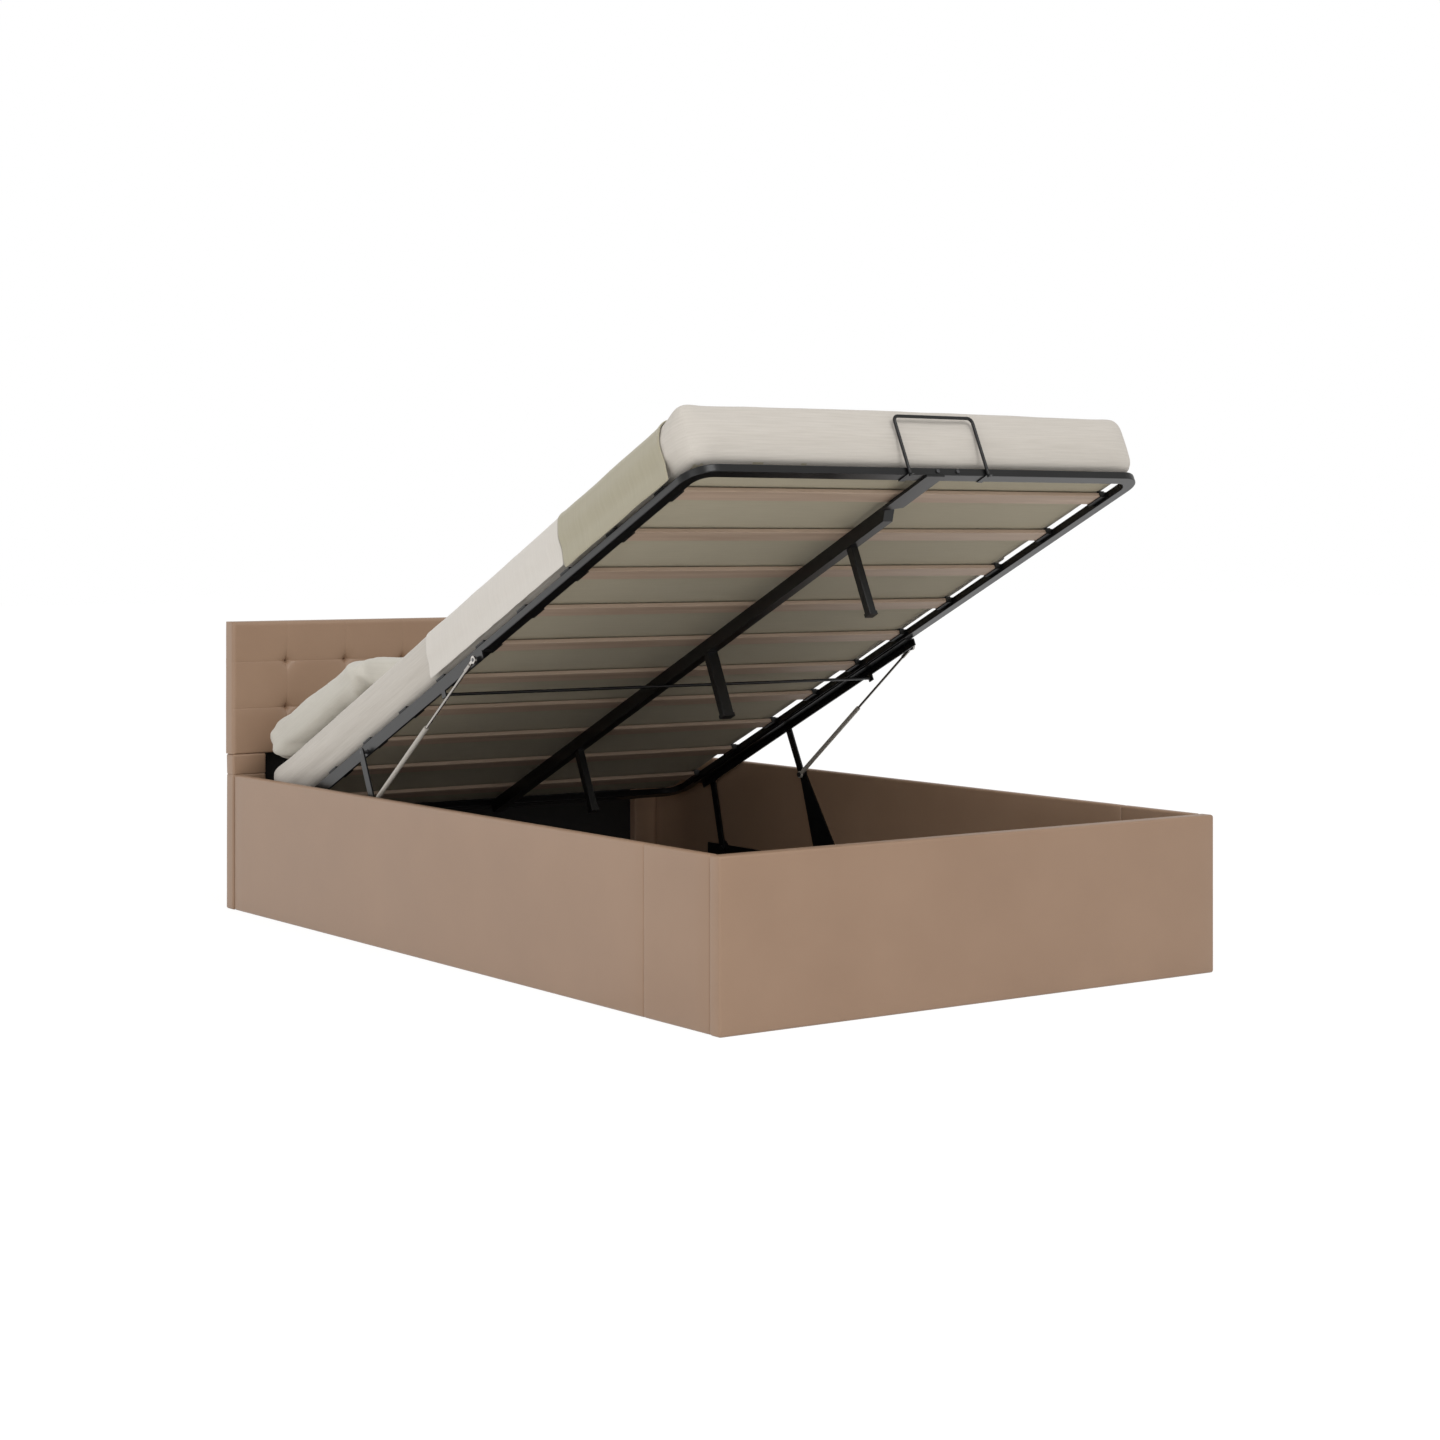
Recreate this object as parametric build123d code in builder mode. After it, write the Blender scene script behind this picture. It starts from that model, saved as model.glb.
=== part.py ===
"""Ottoman storage bed: an upholstered box on the floor, a slatted deck raised at the foot end on
side mechanisms with gas springs, a mattress and bedding on the deck. Millimetres, Z up, X across
the bed, Y along it with the headboard at +Y, origin on the floor under the middle of the box.
The deck stands open at rest, as in the photo. Places on the deck are given as (x, s, n): s runs
from the foot bar towards the head along the rails, n stands square to the rail tops."""

import os
from math import atan2, cos, degrees, hypot, radians, sin, sqrt

from build123d import *

os.makedirs("parts", exist_ok=True)

# Driving dimensions of the box
bed_length = 2093.0
bed_width = 1268.0
side_height = 330.0
foot_panel_thickness = 34.0
side_panel_thickness = 20.0
side_panel_inset = 3.0
headboard_thickness = 40.0
headboard_height = 704.0
headboard_pad_bottom = 380.0
headboard_post_width = 89.0
panel_edge_radius = 7.0
panel_clearance = 0.3
seam_depth = 1.5
seam_width = 2.4
side_seam_from_foot = 254.0

# Tufting of the headboard
tuft_columns = 7
tuft_side_gap = 147.1
tuft_top_gap = 99.0
tuft_row_gap = 114.0
tuft_radius = 16.0
tuft_depth = 9.0
tuft_seam_depth = 2.5
tuft_seam_width = 4.0

# Storage floor inside the box
floor_top = 70.0
floor_thickness = 12.0
floor_side_clearance = 1.0
batten_width = 45.0
batten_count = 4
batten_setback = 90.0
lower_board_thickness = 12.0
lower_board_setback = 4.0

# Poses of the deck: head end of the rail tops open at rest, and rail tops closed
lift_angle = 24.9
open_head_gap = 152.44
open_head_height = 238.21
closed_foot_gap = 11.5
closed_head_gap = 82.5
closed_height = 260.0

# Steel frame of the deck
deck_side_gap = 26.0
deck_corner_radius = 60.0
rail_width = 28.0
rail_height = 16.0
rail_wall = 1.6
rail_edge_radius = 2.0
beam_width = 25.0
beam_depth = 36.0
beam_step_at = 160.0
tie_plate_width = 46.0
tie_plate_thickness = 4.0
tie_plate_bevel = 16.0
leg_place_shares = (0.159, 0.451, 0.765)
leg_widths = (18.0, 28.0, 18.0)
leg_depth = 18.0
leg_foot_height = 8.0
leg_foot_margin = 1.5
leg_floor_gap = 0.3

# Slats and their holders
slat_count = 10
slat_foot_setback = 126.0
slat_head_setback = 121.4
slat_width = 40.0
slat_thickness = 9.0
slat_bottom = -7.0
slat_radius = 1.5
slat_end_gap = 2.0
beam_gap = 0.5
holder_wall = 2.5
holder_pocket = 14.0
holder_hook_width = 36.0

# Mattress retainer bar at the foot
retainer_width = 205.0
retainer_height = 112.0
retainer_rod = 7.0
retainer_offset = 34.0
retainer_radius = 12.0
retainer_front_gap = 1.0
retainer_tab_width = 14.0
retainer_tab_margin = 1.5
retainer_tab_thickness = 2.0
bolt_head_radius = 4.5
bolt_head_height = 3.0
bolt_head_edge = 0.6
bolt_spacing = 52.0

# Side mechanism, with setbacks from the head end of the rails
bracket_start_setback = 1064.0
bracket_end_setback = 105.0
bracket_leaf = 3.0
bracket_gap = 2.0
bracket_bottom = 33.0
front_pin_setback = 496.0
rear_pin_setback = 129.0
pin_depth = 25.5
spring_pin_setback = 1039.0
spring_pin_depth = 27.0
front_arm_length = 120.5
rear_arm_length = 174.7
arm_thickness = 4.0
arm_width = 21.0
upright_width = 26.0
plate_thickness = 4.0
base_strip_width = 38.0
base_strip_ends = (60.0, 70.0)
plane_gap = 0.5
pin_radius = 4.0
pin_clearance = 0.25
pin_head_radius = 6.0
pin_head_height = 3.0
pin_head_gap = 0.3
spring_eye_thickness = 5.0
spring_eye_radius = 8.5
cylinder_radius = 5.5
cylinder_wall = 1.0
cylinder_length = 278.0
cylinder_collar = 10.0
rod_radius = 3.0
rod_clearance = 0.3
rod_overlap = 26.0
fitting_length = 24.0
fitting_radius = 4.5
tongue_width = 7.0
cross_bar_setback = 875.0
cross_bar_depth = 40.0
cross_bar_radius = 3.5
cross_bar_ear_width = 16.0

# Mattress and bedding
mattress_overhang = 3.0
mattress_start = 8.0
mattress_head_overhang = 26.0
mattress_lift = 0.6
mattress_thickness = 124.0
mattress_corner_radius = 62.0
throw_start = 78.0
throw_length = 406.0
throw_thickness = 4.0
throw_hem = 12.0
cover_throw_gap = 3.0
cover_pillow_gap = 338.0
cover_gap = 0.4
cover_thickness = 2.0
cover_hem = 20.0
pillow_width = 740.0
pillow_length = 500.0
pillow_thickness = 122.0
pillow_side_gap = 4.0
pillow_head_gap = 23.0
pillow_corner_radius = 58.0

# Levels of the soft forms: height and inset as shares of the thickness
mattress_level_shares = (
    (0.0, 0.13),
    (0.1, 0.034),
    (0.3, 0.004),
    (0.6, 0.004),
    (0.82, 0.043),
    (0.93, 0.13),
    (0.98, 0.293),
    (1.0, 0.776),
)
pillow_level_shares = (
    (0.0, 0.4),
    (0.06, 0.2),
    (0.18, 0.05),
    (0.36, 0.0),
    (0.56, 0.04),
    (0.74, 0.17),
    (0.87, 0.39),
    (0.95, 0.72),
    (1.0, 1.35),
)

# Shares
half_share = 0.5
tongue_share = 0.75

# Derived places of the box
half_length = bed_length * half_share
half_width = bed_width * half_share
foot_inner_y = foot_panel_thickness - half_length
head_front_y = half_length - headboard_thickness
side_outer_x = half_width - side_panel_inset
side_inner_x = side_outer_x - side_panel_thickness
inner_length = head_front_y - foot_inner_y
side_length = inner_length - 2 * panel_clearance
side_mid_y = (head_front_y + foot_inner_y) * half_share
tuft_pitch = (bed_width - tuft_side_gap * 2) / (tuft_columns - 1)

# Derived sizes of the deck and what lies on it, with places counted from the foot bar
deck_half = side_inner_x - deck_side_gap
deck_width = deck_half * 2
deck_length = inner_length - closed_foot_gap - closed_head_gap
slat_pitch = (deck_length - slat_foot_setback - slat_head_setback) / (slat_count - 1)
bracket_start = deck_length - bracket_start_setback
bracket_end = deck_length - bracket_end_setback
front_pin_s = deck_length - front_pin_setback
rear_pin_s = deck_length - rear_pin_setback
spring_pin_s = deck_length - spring_pin_setback
mattress_width = deck_width + mattress_overhang * 2
mattress_end = deck_length + mattress_head_overhang
pillow_x = pillow_width * half_share + pillow_side_gap - mattress_width * half_share
pillow_s = mattress_end - pillow_head_gap - pillow_length * half_share
throw_span = (throw_start, throw_start + throw_length)
cover_span = (
    throw_span[1] + cover_throw_gap,
    pillow_s - pillow_length * half_share - cover_pillow_gap,
)

# Derived poses of the deck
tilt = radians(lift_angle)
open_foot = (
    head_front_y - open_head_gap - deck_length * cos(tilt),
    open_head_height + deck_length * sin(tilt),
)
closed_foot = (foot_inner_y + closed_foot_gap, closed_height)
along = Vector(0, cos(tilt), -sin(tilt))
square = Vector(0, sin(tilt), cos(tilt))


def open_place(s, n):
    """Y and Z of a deck place with the deck open."""
    return (
        open_foot[0] + s * cos(tilt) + n * sin(tilt),
        open_foot[1] - s * sin(tilt) + n * cos(tilt),
    )


def closed_place(s, n):
    """Y and Z of a deck place with the deck closed."""
    return (closed_foot[0] + s, closed_foot[1] + n)


def base_pivot(s, n, length):
    """Y and Z of the box pivot that keeps an arm of this length true in both end poses."""
    oy, oz = open_place(s, n)
    cy, cz = closed_place(s, n)
    dy, dz = cy - oy, cz - oz
    travel = hypot(dy, dz)
    reach = sqrt(length * length - travel * travel * half_share * half_share)
    my, mz = (oy + cy) * half_share, (oz + cz) * half_share
    return (my + dz / travel * reach, mz - dy / travel * reach)


def deck_level(n):
    """Plane square to the rails at height n: local X across, local Y along the rails."""
    y, z = open_place(0, n)
    return Plane(origin=(0, y, z), x_dir=(1, 0, 0), z_dir=square)


def deck_side(x):
    """Plane along the rails at x: local X is s, local Y is n, it faces +X."""
    y, z = open_foot
    return Plane(origin=(x, y, z), x_dir=along, z_dir=(1, 0, 0))


def deck_cross(s):
    """Plane across the rails at s: local X across, local Y is n, it faces the foot end."""
    y, z = open_place(s, 0)
    return Plane(origin=(0, y, z), x_dir=(1, 0, 0), z_dir=-along)


def box_side(x):
    """Plane of constant X: local X is world Y, local Y is world Z, it faces +X."""
    return Plane(origin=(x, 0, 0), x_dir=(0, 1, 0), z_dir=(1, 0, 0))


def keep(builder, name):
    """Label the finished piece and write its file."""
    builder.part.label = name
    export_step(builder.part, "parts/" + name + ".step")


front_pivot = base_pivot(front_pin_s, -pin_depth, front_arm_length)
rear_pivot = base_pivot(rear_pin_s, -pin_depth, rear_arm_length)
front_pin = open_place(front_pin_s, -pin_depth)
rear_pin = open_place(rear_pin_s, -pin_depth)
spring_pin = open_place(spring_pin_s, -spring_pin_depth)

# Layers of the mechanism, from the rail outwards to the side panel
leaf_inner = deck_half + bracket_gap
leaf_outer = leaf_inner + bracket_leaf
plate_inner = side_inner_x - plate_thickness
arm_outer = plate_inner - plane_gap
arm_inner = arm_outer - arm_thickness
eye_outer = arm_inner - plane_gap * 3
eye_inner = eye_outer - spring_eye_thickness
spring_x = (eye_inner + eye_outer) * half_share
head_outer = eye_inner - plane_gap

# Foot panel: upholstered board across the foot end
with BuildPart() as foot_panel:
    with BuildSketch(Plane.XY):
        with Locations((0, foot_panel_thickness * half_share - half_length)):
            Rectangle(bed_width, foot_panel_thickness)
    extrude(amount=side_height)
    fillet(foot_panel.edges().filter_by(Axis.Z), panel_edge_radius)
    fillet(foot_panel.faces().sort_by(Axis.Z)[-1].edges(), panel_edge_radius * half_share)
keep(foot_panel, "foot_panel")

# Side panels: upholstered boards between the foot panel and the headboard
for side, sign in (("left", -1), ("right", 1)):
    with BuildPart() as side_panel:
        with BuildSketch(Plane.XY):
            with Locations((sign * (side_outer_x + side_inner_x) * half_share, side_mid_y)):
                Rectangle(side_panel_thickness, side_length)
        extrude(amount=side_height)
        fillet(
            side_panel.faces().sort_by(Axis.Z)[-1].edges().filter_by(Axis.Y),
            panel_edge_radius,
        )
        with BuildSketch(Plane.XZ.offset(half_length - side_seam_from_foot)):
            with Locations((sign * side_outer_x, side_height * half_share)):
                Rectangle(seam_depth * 2, side_height)
            with Locations((sign * (side_outer_x + side_inner_x) * half_share, side_height)):
                Rectangle(side_panel_thickness, seam_depth * 2)
        extrude(amount=seam_width * half_share, both=True, mode=Mode.SUBTRACT)
    keep(side_panel, "side_panel_" + side)

# Headboard: padded upper part with stitched grid and tufts
pad_height = headboard_height - headboard_pad_bottom
tuft_xs = [(i - (tuft_columns - 1) * half_share) * tuft_pitch for i in range(tuft_columns)]
tuft_zs = (headboard_height - tuft_top_gap, headboard_height - tuft_top_gap - tuft_row_gap)
with BuildPart() as headboard_pad:
    with BuildSketch(Plane.XY.offset(headboard_pad_bottom + panel_clearance)):
        with Locations((0, half_length - headboard_thickness * half_share)):
            Rectangle(bed_width, headboard_thickness)
    extrude(amount=pad_height - panel_clearance)
    fillet(headboard_pad.faces().sort_by(Axis.Y)[0].edges(), panel_edge_radius)
    fillet(
        headboard_pad.faces().sort_by(Axis.Z)[-1].edges().sort_by(Axis.Y)[-1],
        panel_edge_radius * half_share,
    )
    with BuildSketch(Plane.XZ.offset(-head_front_y)):
        with Locations(*[(x, (headboard_height + headboard_pad_bottom) * half_share) for x in tuft_xs]):
            Rectangle(tuft_seam_width, pad_height)
        with Locations(*[(0, z) for z in tuft_zs]):
            Rectangle(bed_width, tuft_seam_width)
    extrude(amount=-tuft_seam_depth, mode=Mode.SUBTRACT)
    with Locations(
        *[(x, head_front_y - tuft_radius + tuft_depth, z) for x in tuft_xs for z in tuft_zs]
    ):
        Sphere(tuft_radius, mode=Mode.SUBTRACT)
keep(headboard_pad, "headboard_pad")

# Headboard posts: upholstered lower ends that stand on the floor
for side, sign in (("left", -1), ("right", 1)):
    with BuildPart() as post:
        with BuildSketch(Plane.XY):
            with Locations(
                (
                    sign * (half_width - headboard_post_width * half_share),
                    half_length - headboard_thickness * half_share,
                )
            ):
                Rectangle(headboard_post_width, headboard_thickness)
        extrude(amount=headboard_pad_bottom)
        fillet(
            post.edges().filter_by(Axis.Z).sort_by(Axis.Y)[0:2],
            panel_edge_radius,
        )
    keep(post, "headboard_post_" + side)

# Lower board: dark board between the posts, set back from their faces
with BuildPart() as lower_board:
    with BuildSketch(Plane.XY):
        with Locations(
            (0, half_length - lower_board_setback - lower_board_thickness * half_share)
        ):
            Rectangle(bed_width - headboard_post_width * 2, lower_board_thickness)
    extrude(amount=headboard_pad_bottom + panel_clearance)
keep(lower_board, "headboard_lower_board")

# Floor battens across the box, and the storage floor that lies on them
inner_span = side_inner_x * 2 - floor_side_clearance * 2
batten_pitch = (inner_length - batten_setback * 2) / (batten_count - 1)
batten_ys = [foot_inner_y + batten_setback + batten_pitch * i for i in range(batten_count)]
with BuildPart() as battens:
    with BuildSketch(Plane.XY):
        with Locations(*[(0, y) for y in batten_ys]):
            Rectangle(side_inner_x * 2, batten_width)
    extrude(amount=floor_top - floor_thickness)
keep(battens, "floor_battens")

strip_top = floor_top + base_strip_width
floor_length = inner_length - floor_side_clearance * 2
for half, sign in (("foot", -1), ("head", 1)):
    with BuildPart() as storage_floor:
        with BuildSketch(Plane.XY.offset(floor_top - floor_thickness)):
            with Locations((0, side_mid_y + sign * floor_length * half_share * half_share)):
                Rectangle(inner_span, floor_length * half_share - floor_side_clearance)
        extrude(amount=floor_thickness)
    keep(storage_floor, "storage_floor_" + half)

# Base plates: a strip along each side panel with a leaning upright for the front pivot
strip_from = front_pivot[0] - base_strip_ends[0] - front_arm_length
strip_to = rear_pivot[0] + base_strip_ends[1]
lean_y = (front_pivot[1] - strip_top) / (front_pin[1] - front_pivot[1]) * (
    front_pin[0] - front_pivot[0]
)
upright_foot_y = front_pivot[0] - lean_y
for side, sign in (("left", -1), ("right", 1)):
    with BuildPart() as base_plate:
        with BuildSketch(box_side(sign * plate_inner)):
            with Locations(
                ((strip_from + strip_to) * half_share, floor_top + base_strip_width * half_share)
            ):
                Rectangle(strip_to - strip_from, base_strip_width)
            with BuildLine():
                Polyline(
                    (upright_foot_y - upright_width * 2, strip_top),
                    (front_pivot[0] - upright_width * half_share, front_pivot[1]),
                    (front_pivot[0] + upright_width * half_share, front_pivot[1]),
                    (upright_foot_y + upright_width * 2, strip_top),
                    close=True,
                )
            make_face()
            with Locations(front_pivot):
                Circle(upright_width * half_share)
            with Locations(rear_pivot):
                Circle(base_strip_width * half_share)
            with Locations(front_pivot, rear_pivot):
                Circle(pin_radius, mode=Mode.SUBTRACT)
        extrude(amount=sign * plate_thickness)
    keep(base_plate, "base_plate_" + side)

# Base pivots: shouldered pins through the base plates, one pair per side
with BuildPart() as base_pins:
    for sign in (-1, 1):
        with BuildSketch(box_side(sign * head_outer)):
            with Locations(front_pivot):
                Circle(pin_radius)
        extrude(amount=sign * (side_inner_x - head_outer))
        with BuildSketch(box_side(sign * head_outer)):
            with Locations(front_pivot):
                Circle(pin_head_radius)
        extrude(amount=-sign * pin_head_height)
        with BuildSketch(box_side(sign * (arm_inner - plane_gap))):
            with Locations(rear_pivot):
                Circle(pin_radius)
        extrude(amount=sign * (side_inner_x - arm_inner + plane_gap))
        with BuildSketch(box_side(sign * (arm_inner - plane_gap))):
            with Locations(rear_pivot):
                Circle(pin_head_radius)
        extrude(amount=-sign * pin_head_height)
keep(base_pins, "base_pivot_pins")

# Front and rear arms: flat steel links with round ends and pin holes
arm_ends = (("front_arm", front_pivot, front_pin), ("rear_arm", rear_pivot, rear_pin))
for name, low, high in arm_ends:
    lean = degrees(atan2(high[1] - low[1], high[0] - low[0]))
    length = hypot(high[0] - low[0], high[1] - low[1])
    hole_radius = pin_radius + pin_clearance
    for side, sign in (("left", -1), ("right", 1)):
        with BuildPart() as arm:
            with BuildSketch(box_side(sign * arm_inner)):
                with Locations(
                    ((low[0] + high[0]) * half_share, (low[1] + high[1]) * half_share)
                ):
                    SlotCenterToCenter(length, arm_width, rotation=lean)
                with Locations(low, high):
                    Circle(hole_radius, mode=Mode.SUBTRACT)
            extrude(amount=sign * arm_thickness)
        keep(arm, name + "_" + side)

# Gas springs: cylinder turning on the front pivot, rod sliding in it up to the bracket
spring_lean = atan2(spring_pin[1] - front_pivot[1], spring_pin[0] - front_pivot[0])
spring_length = hypot(spring_pin[0] - front_pivot[0], spring_pin[1] - front_pivot[1])
spring_dir = Vector(0, cos(spring_lean), sin(spring_lean))
tongue_length = fitting_length * tongue_share
for side, sign in (("left", -1), ("right", 1)):
    low_end = Vector(sign * spring_x, front_pivot[0], front_pivot[1])
    body_start = low_end + spring_dir * tongue_length
    body_end = low_end + spring_dir * (tongue_length + cylinder_length)
    bore_start = low_end + spring_dir * (tongue_length + cylinder_collar)
    with BuildPart() as cylinder:
        with BuildSketch(box_side(sign * eye_inner)):
            with Locations(front_pivot):
                Circle(spring_eye_radius)
            with Locations(
                (
                    front_pivot[0] + spring_dir.Y * tongue_length * half_share,
                    front_pivot[1] + spring_dir.Z * tongue_length * half_share,
                )
            ):
                Rectangle(tongue_length, tongue_width, rotation=degrees(spring_lean))
        extrude(amount=sign * spring_eye_thickness)
        with BuildSketch(Plane(origin=body_start, z_dir=spring_dir)):
            Circle(cylinder_radius)
        extrude(amount=cylinder_length - cylinder_wall)
        with BuildSketch(Plane(origin=body_end, z_dir=-spring_dir)):
            Circle(cylinder_radius - cylinder_wall)
        extrude(amount=cylinder_wall)
        with BuildSketch(Plane(origin=bore_start, z_dir=spring_dir)):
            Circle(cylinder_radius - cylinder_wall)
        extrude(amount=cylinder_length - cylinder_collar * 2, mode=Mode.SUBTRACT)
        with BuildSketch(Plane(origin=body_end, z_dir=-spring_dir)):
            Circle(rod_radius + rod_clearance)
        extrude(amount=cylinder_collar * 2, mode=Mode.SUBTRACT)
        with BuildSketch(box_side(sign * (eye_inner - plane_gap))):
            with Locations(front_pivot):
                Circle(pin_radius + pin_clearance)
        extrude(amount=sign * (spring_eye_thickness + plane_gap * 2), mode=Mode.SUBTRACT)
    keep(cylinder, "gas_cylinder_" + side)

    high_end = Vector(sign * spring_x, spring_pin[0], spring_pin[1])
    rod_end = body_end - spring_dir * (cylinder_collar + rod_overlap)
    rod_run = spring_length - tongue_length - cylinder_length + cylinder_collar + rod_overlap
    with BuildPart() as rod:
        with BuildSketch(Plane(origin=rod_end, z_dir=spring_dir)):
            Circle(rod_radius)
        extrude(amount=rod_run - fitting_length)
        with BuildSketch(Plane(origin=high_end - spring_dir * tongue_length, z_dir=-spring_dir)):
            Circle(fitting_radius)
        extrude(amount=fitting_length)
        with BuildSketch(box_side(sign * eye_inner)):
            with Locations(spring_pin):
                Circle(spring_eye_radius)
            with Locations(
                (
                    spring_pin[0] - spring_dir.Y * fitting_length * half_share,
                    spring_pin[1] - spring_dir.Z * fitting_length * half_share,
                )
            ):
                Rectangle(fitting_length, tongue_width, rotation=degrees(spring_lean))
        extrude(amount=sign * spring_eye_thickness)
        with BuildSketch(box_side(sign * (eye_inner - plane_gap))):
            with Locations(spring_pin):
                Circle(pin_radius + pin_clearance)
        extrude(amount=sign * (spring_eye_thickness + plane_gap * 2), mode=Mode.SUBTRACT)
    keep(rod, "gas_rod_" + side)

# Deck frame: rectangular steel tube bent round the corners
with BuildPart() as deck_frame:
    with BuildSketch(deck_level(-rail_height)):
        with Locations((0, deck_length * half_share)):
            RectangleRounded(deck_width, deck_length, deck_corner_radius)
            RectangleRounded(
                deck_width - rail_width * 2,
                deck_length - rail_width * 2,
                deck_corner_radius - rail_width,
                mode=Mode.SUBTRACT,
            )
    extrude(amount=rail_height)
    rail_faces = deck_frame.faces().sort_by(Axis((0, 0, 0), square))
    fillet(rail_faces[0].edges() + rail_faces[-1].edges(), rail_edge_radius)
    with BuildSketch(deck_level(rail_wall - rail_height)):
        with Locations((0, deck_length * half_share)):
            RectangleRounded(
                deck_width - rail_wall * 2,
                deck_length - rail_wall * 2,
                deck_corner_radius - rail_wall,
            )
            RectangleRounded(
                deck_width - rail_width * 2 + rail_wall * 2,
                deck_length - rail_width * 2 + rail_wall * 2,
                deck_corner_radius - rail_width + rail_wall,
                mode=Mode.SUBTRACT,
            )
    extrude(amount=rail_height - rail_wall * 2, mode=Mode.SUBTRACT)
keep(deck_frame, "deck_frame")

# Centre beam: stepped tube between the foot bar and the head bar
beam_end = deck_length - rail_width
with BuildPart() as centre_beam:
    with BuildSketch(deck_side(-beam_width * half_share)):
        with BuildLine():
            Polyline(
                (rail_width, slat_bottom - beam_gap),
                (beam_end, slat_bottom - beam_gap),
                (beam_end, -beam_depth),
                (beam_step_at + tie_plate_bevel, -beam_depth),
                (beam_step_at, -rail_height),
                (rail_width, -rail_height),
                close=True,
            )
        make_face()
    extrude(amount=beam_width)
keep(centre_beam, "centre_beam")

# Tie plate: flat plate under the foot bar and the thin end of the beam
with BuildPart() as tie_plate:
    with BuildSketch(deck_level(-rail_height - tie_plate_thickness)):
        with BuildLine():
            Polyline(
                (-tie_plate_width * half_share, 0),
                (tie_plate_width * half_share, 0),
                (tie_plate_width * half_share, beam_step_at - tie_plate_bevel),
                (-tie_plate_width * half_share, beam_step_at),
                close=True,
            )
        make_face()
    extrude(amount=tie_plate_thickness)
keep(tie_plate, "tie_plate")

# Drop legs: square to the deck, they stand on the storage floor when it is closed
leg_bottom = floor_top + leg_floor_gap - closed_height
for name, share, width in zip(("foot", "middle", "head"), leg_place_shares, leg_widths):
    place = deck_length * share
    with BuildPart() as leg:
        with BuildSketch(deck_level(leg_bottom + leg_foot_height)):
            with Locations((0, place)):
                RectangleRounded(width, leg_depth, leg_foot_margin)
        extrude(amount=-beam_depth - leg_bottom - leg_foot_height)
        with BuildSketch(deck_level(leg_bottom)):
            with Locations((0, place)):
                RectangleRounded(
                    width + leg_foot_margin * 2, leg_depth + leg_foot_margin * 2, leg_foot_margin
                )
        extrude(amount=leg_foot_height)
    keep(leg, "drop_leg_" + name)

# Slats across the deck between the side rails, each end in a holder
slat_half = deck_half - rail_width - slat_end_gap
slat_places = [slat_foot_setback + slat_pitch * i for i in range(slat_count)]
for number, place in enumerate(slat_places, start=1):
    with BuildPart() as slat:
        with BuildSketch(deck_level(slat_bottom)):
            with Locations((0, place)):
                Rectangle(slat_half * 2, slat_width)
        extrude(amount=slat_thickness)
        fillet(slat.edges().filter_by(Axis.X), slat_radius)
    keep(slat, "slat_%02d" % number)

# Slat holders: moulded pockets inside the side rails, each hooked over the rail
holder_top = slat_bottom + slat_thickness + holder_wall
pocket_centre = deck_half - rail_width - holder_pocket * half_share
hook_centre = deck_half - (rail_width + holder_pocket) * half_share
holder_ends = [(sign, place) for place in slat_places for sign in (-1, 1)]
with BuildPart() as holders:
    with BuildSketch(deck_level(slat_bottom - holder_wall)):
        with Locations(*[(sign * pocket_centre, place) for sign, place in holder_ends]):
            Rectangle(holder_pocket, slat_width + holder_wall * 2)
    extrude(amount=holder_top - slat_bottom + holder_wall)
    with BuildSketch(deck_level(0)):
        with Locations(*[(sign * hook_centre, place) for sign, place in holder_ends]):
            Rectangle(rail_width + holder_pocket, holder_hook_width)
    extrude(amount=holder_top)
    with BuildSketch(deck_level(slat_bottom)):
        with Locations(*[(0, place) for place in slat_places]):
            Rectangle(slat_half * 2, slat_width)
    extrude(amount=slat_thickness, mode=Mode.SUBTRACT)
keep(holders, "slat_holders")

# Retainer bar: bent round rod in front of the mattress, on two tabs under the foot bar
rod_half = retainer_rod * half_share
rod_s = -retainer_front_gap - rod_half
retainer_x = (
    retainer_offset - retainer_width * half_share,
    retainer_offset + retainer_width * half_share,
)
retainer_foot = -rail_height - retainer_tab_thickness - rod_half
with BuildPart() as retainer:
    with BuildLine(deck_cross(rod_s)):
        FilletPolyline(
            (retainer_x[0], retainer_foot),
            (retainer_x[0], retainer_height),
            (retainer_x[1], retainer_height),
            (retainer_x[1], retainer_foot),
            radius=retainer_radius,
        )
    with BuildSketch(
        Plane(
            origin=deck_cross(rod_s).from_local_coords((retainer_x[0], retainer_foot, 0)),
            z_dir=square,
        )
    ):
        Circle(rod_half)
    sweep()
keep(retainer, "retainer_bar")

tab_front = rod_s - rod_half - retainer_tab_margin
with BuildPart() as tabs:
    with BuildSketch(deck_level(-rail_height - retainer_tab_thickness)):
        for x in retainer_x:
            with Locations((x, (rail_width + tab_front) * half_share)):
                Rectangle(retainer_tab_width, rail_width - tab_front)
    extrude(amount=retainer_tab_thickness)
    with BuildSketch(deck_level(-rail_height - retainer_tab_thickness)):
        with Locations(*[(x, rod_s) for x in retainer_x]):
            Circle(rod_half)
    extrude(amount=retainer_tab_thickness, mode=Mode.SUBTRACT)
keep(tabs, "retainer_tabs")

# Bolts of the foot bar, seen between the feet of the retainer
with BuildPart() as foot_bolts:
    with BuildSketch(deck_cross(0)):
        with Locations(
            (retainer_offset - bolt_spacing * half_share, -rail_height * half_share),
            (retainer_offset + bolt_spacing * half_share, -rail_height * half_share),
        ):
            RegularPolygon(bolt_head_radius, 6)
    extrude(amount=bolt_head_height)
    deck_run = Axis((0, 0, 0), along)
    fillet(foot_bolts.faces().filter_by(deck_run).sort_by(deck_run)[0:2].edges(), bolt_head_edge)
keep(foot_bolts, "foot_bar_bolts")

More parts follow.
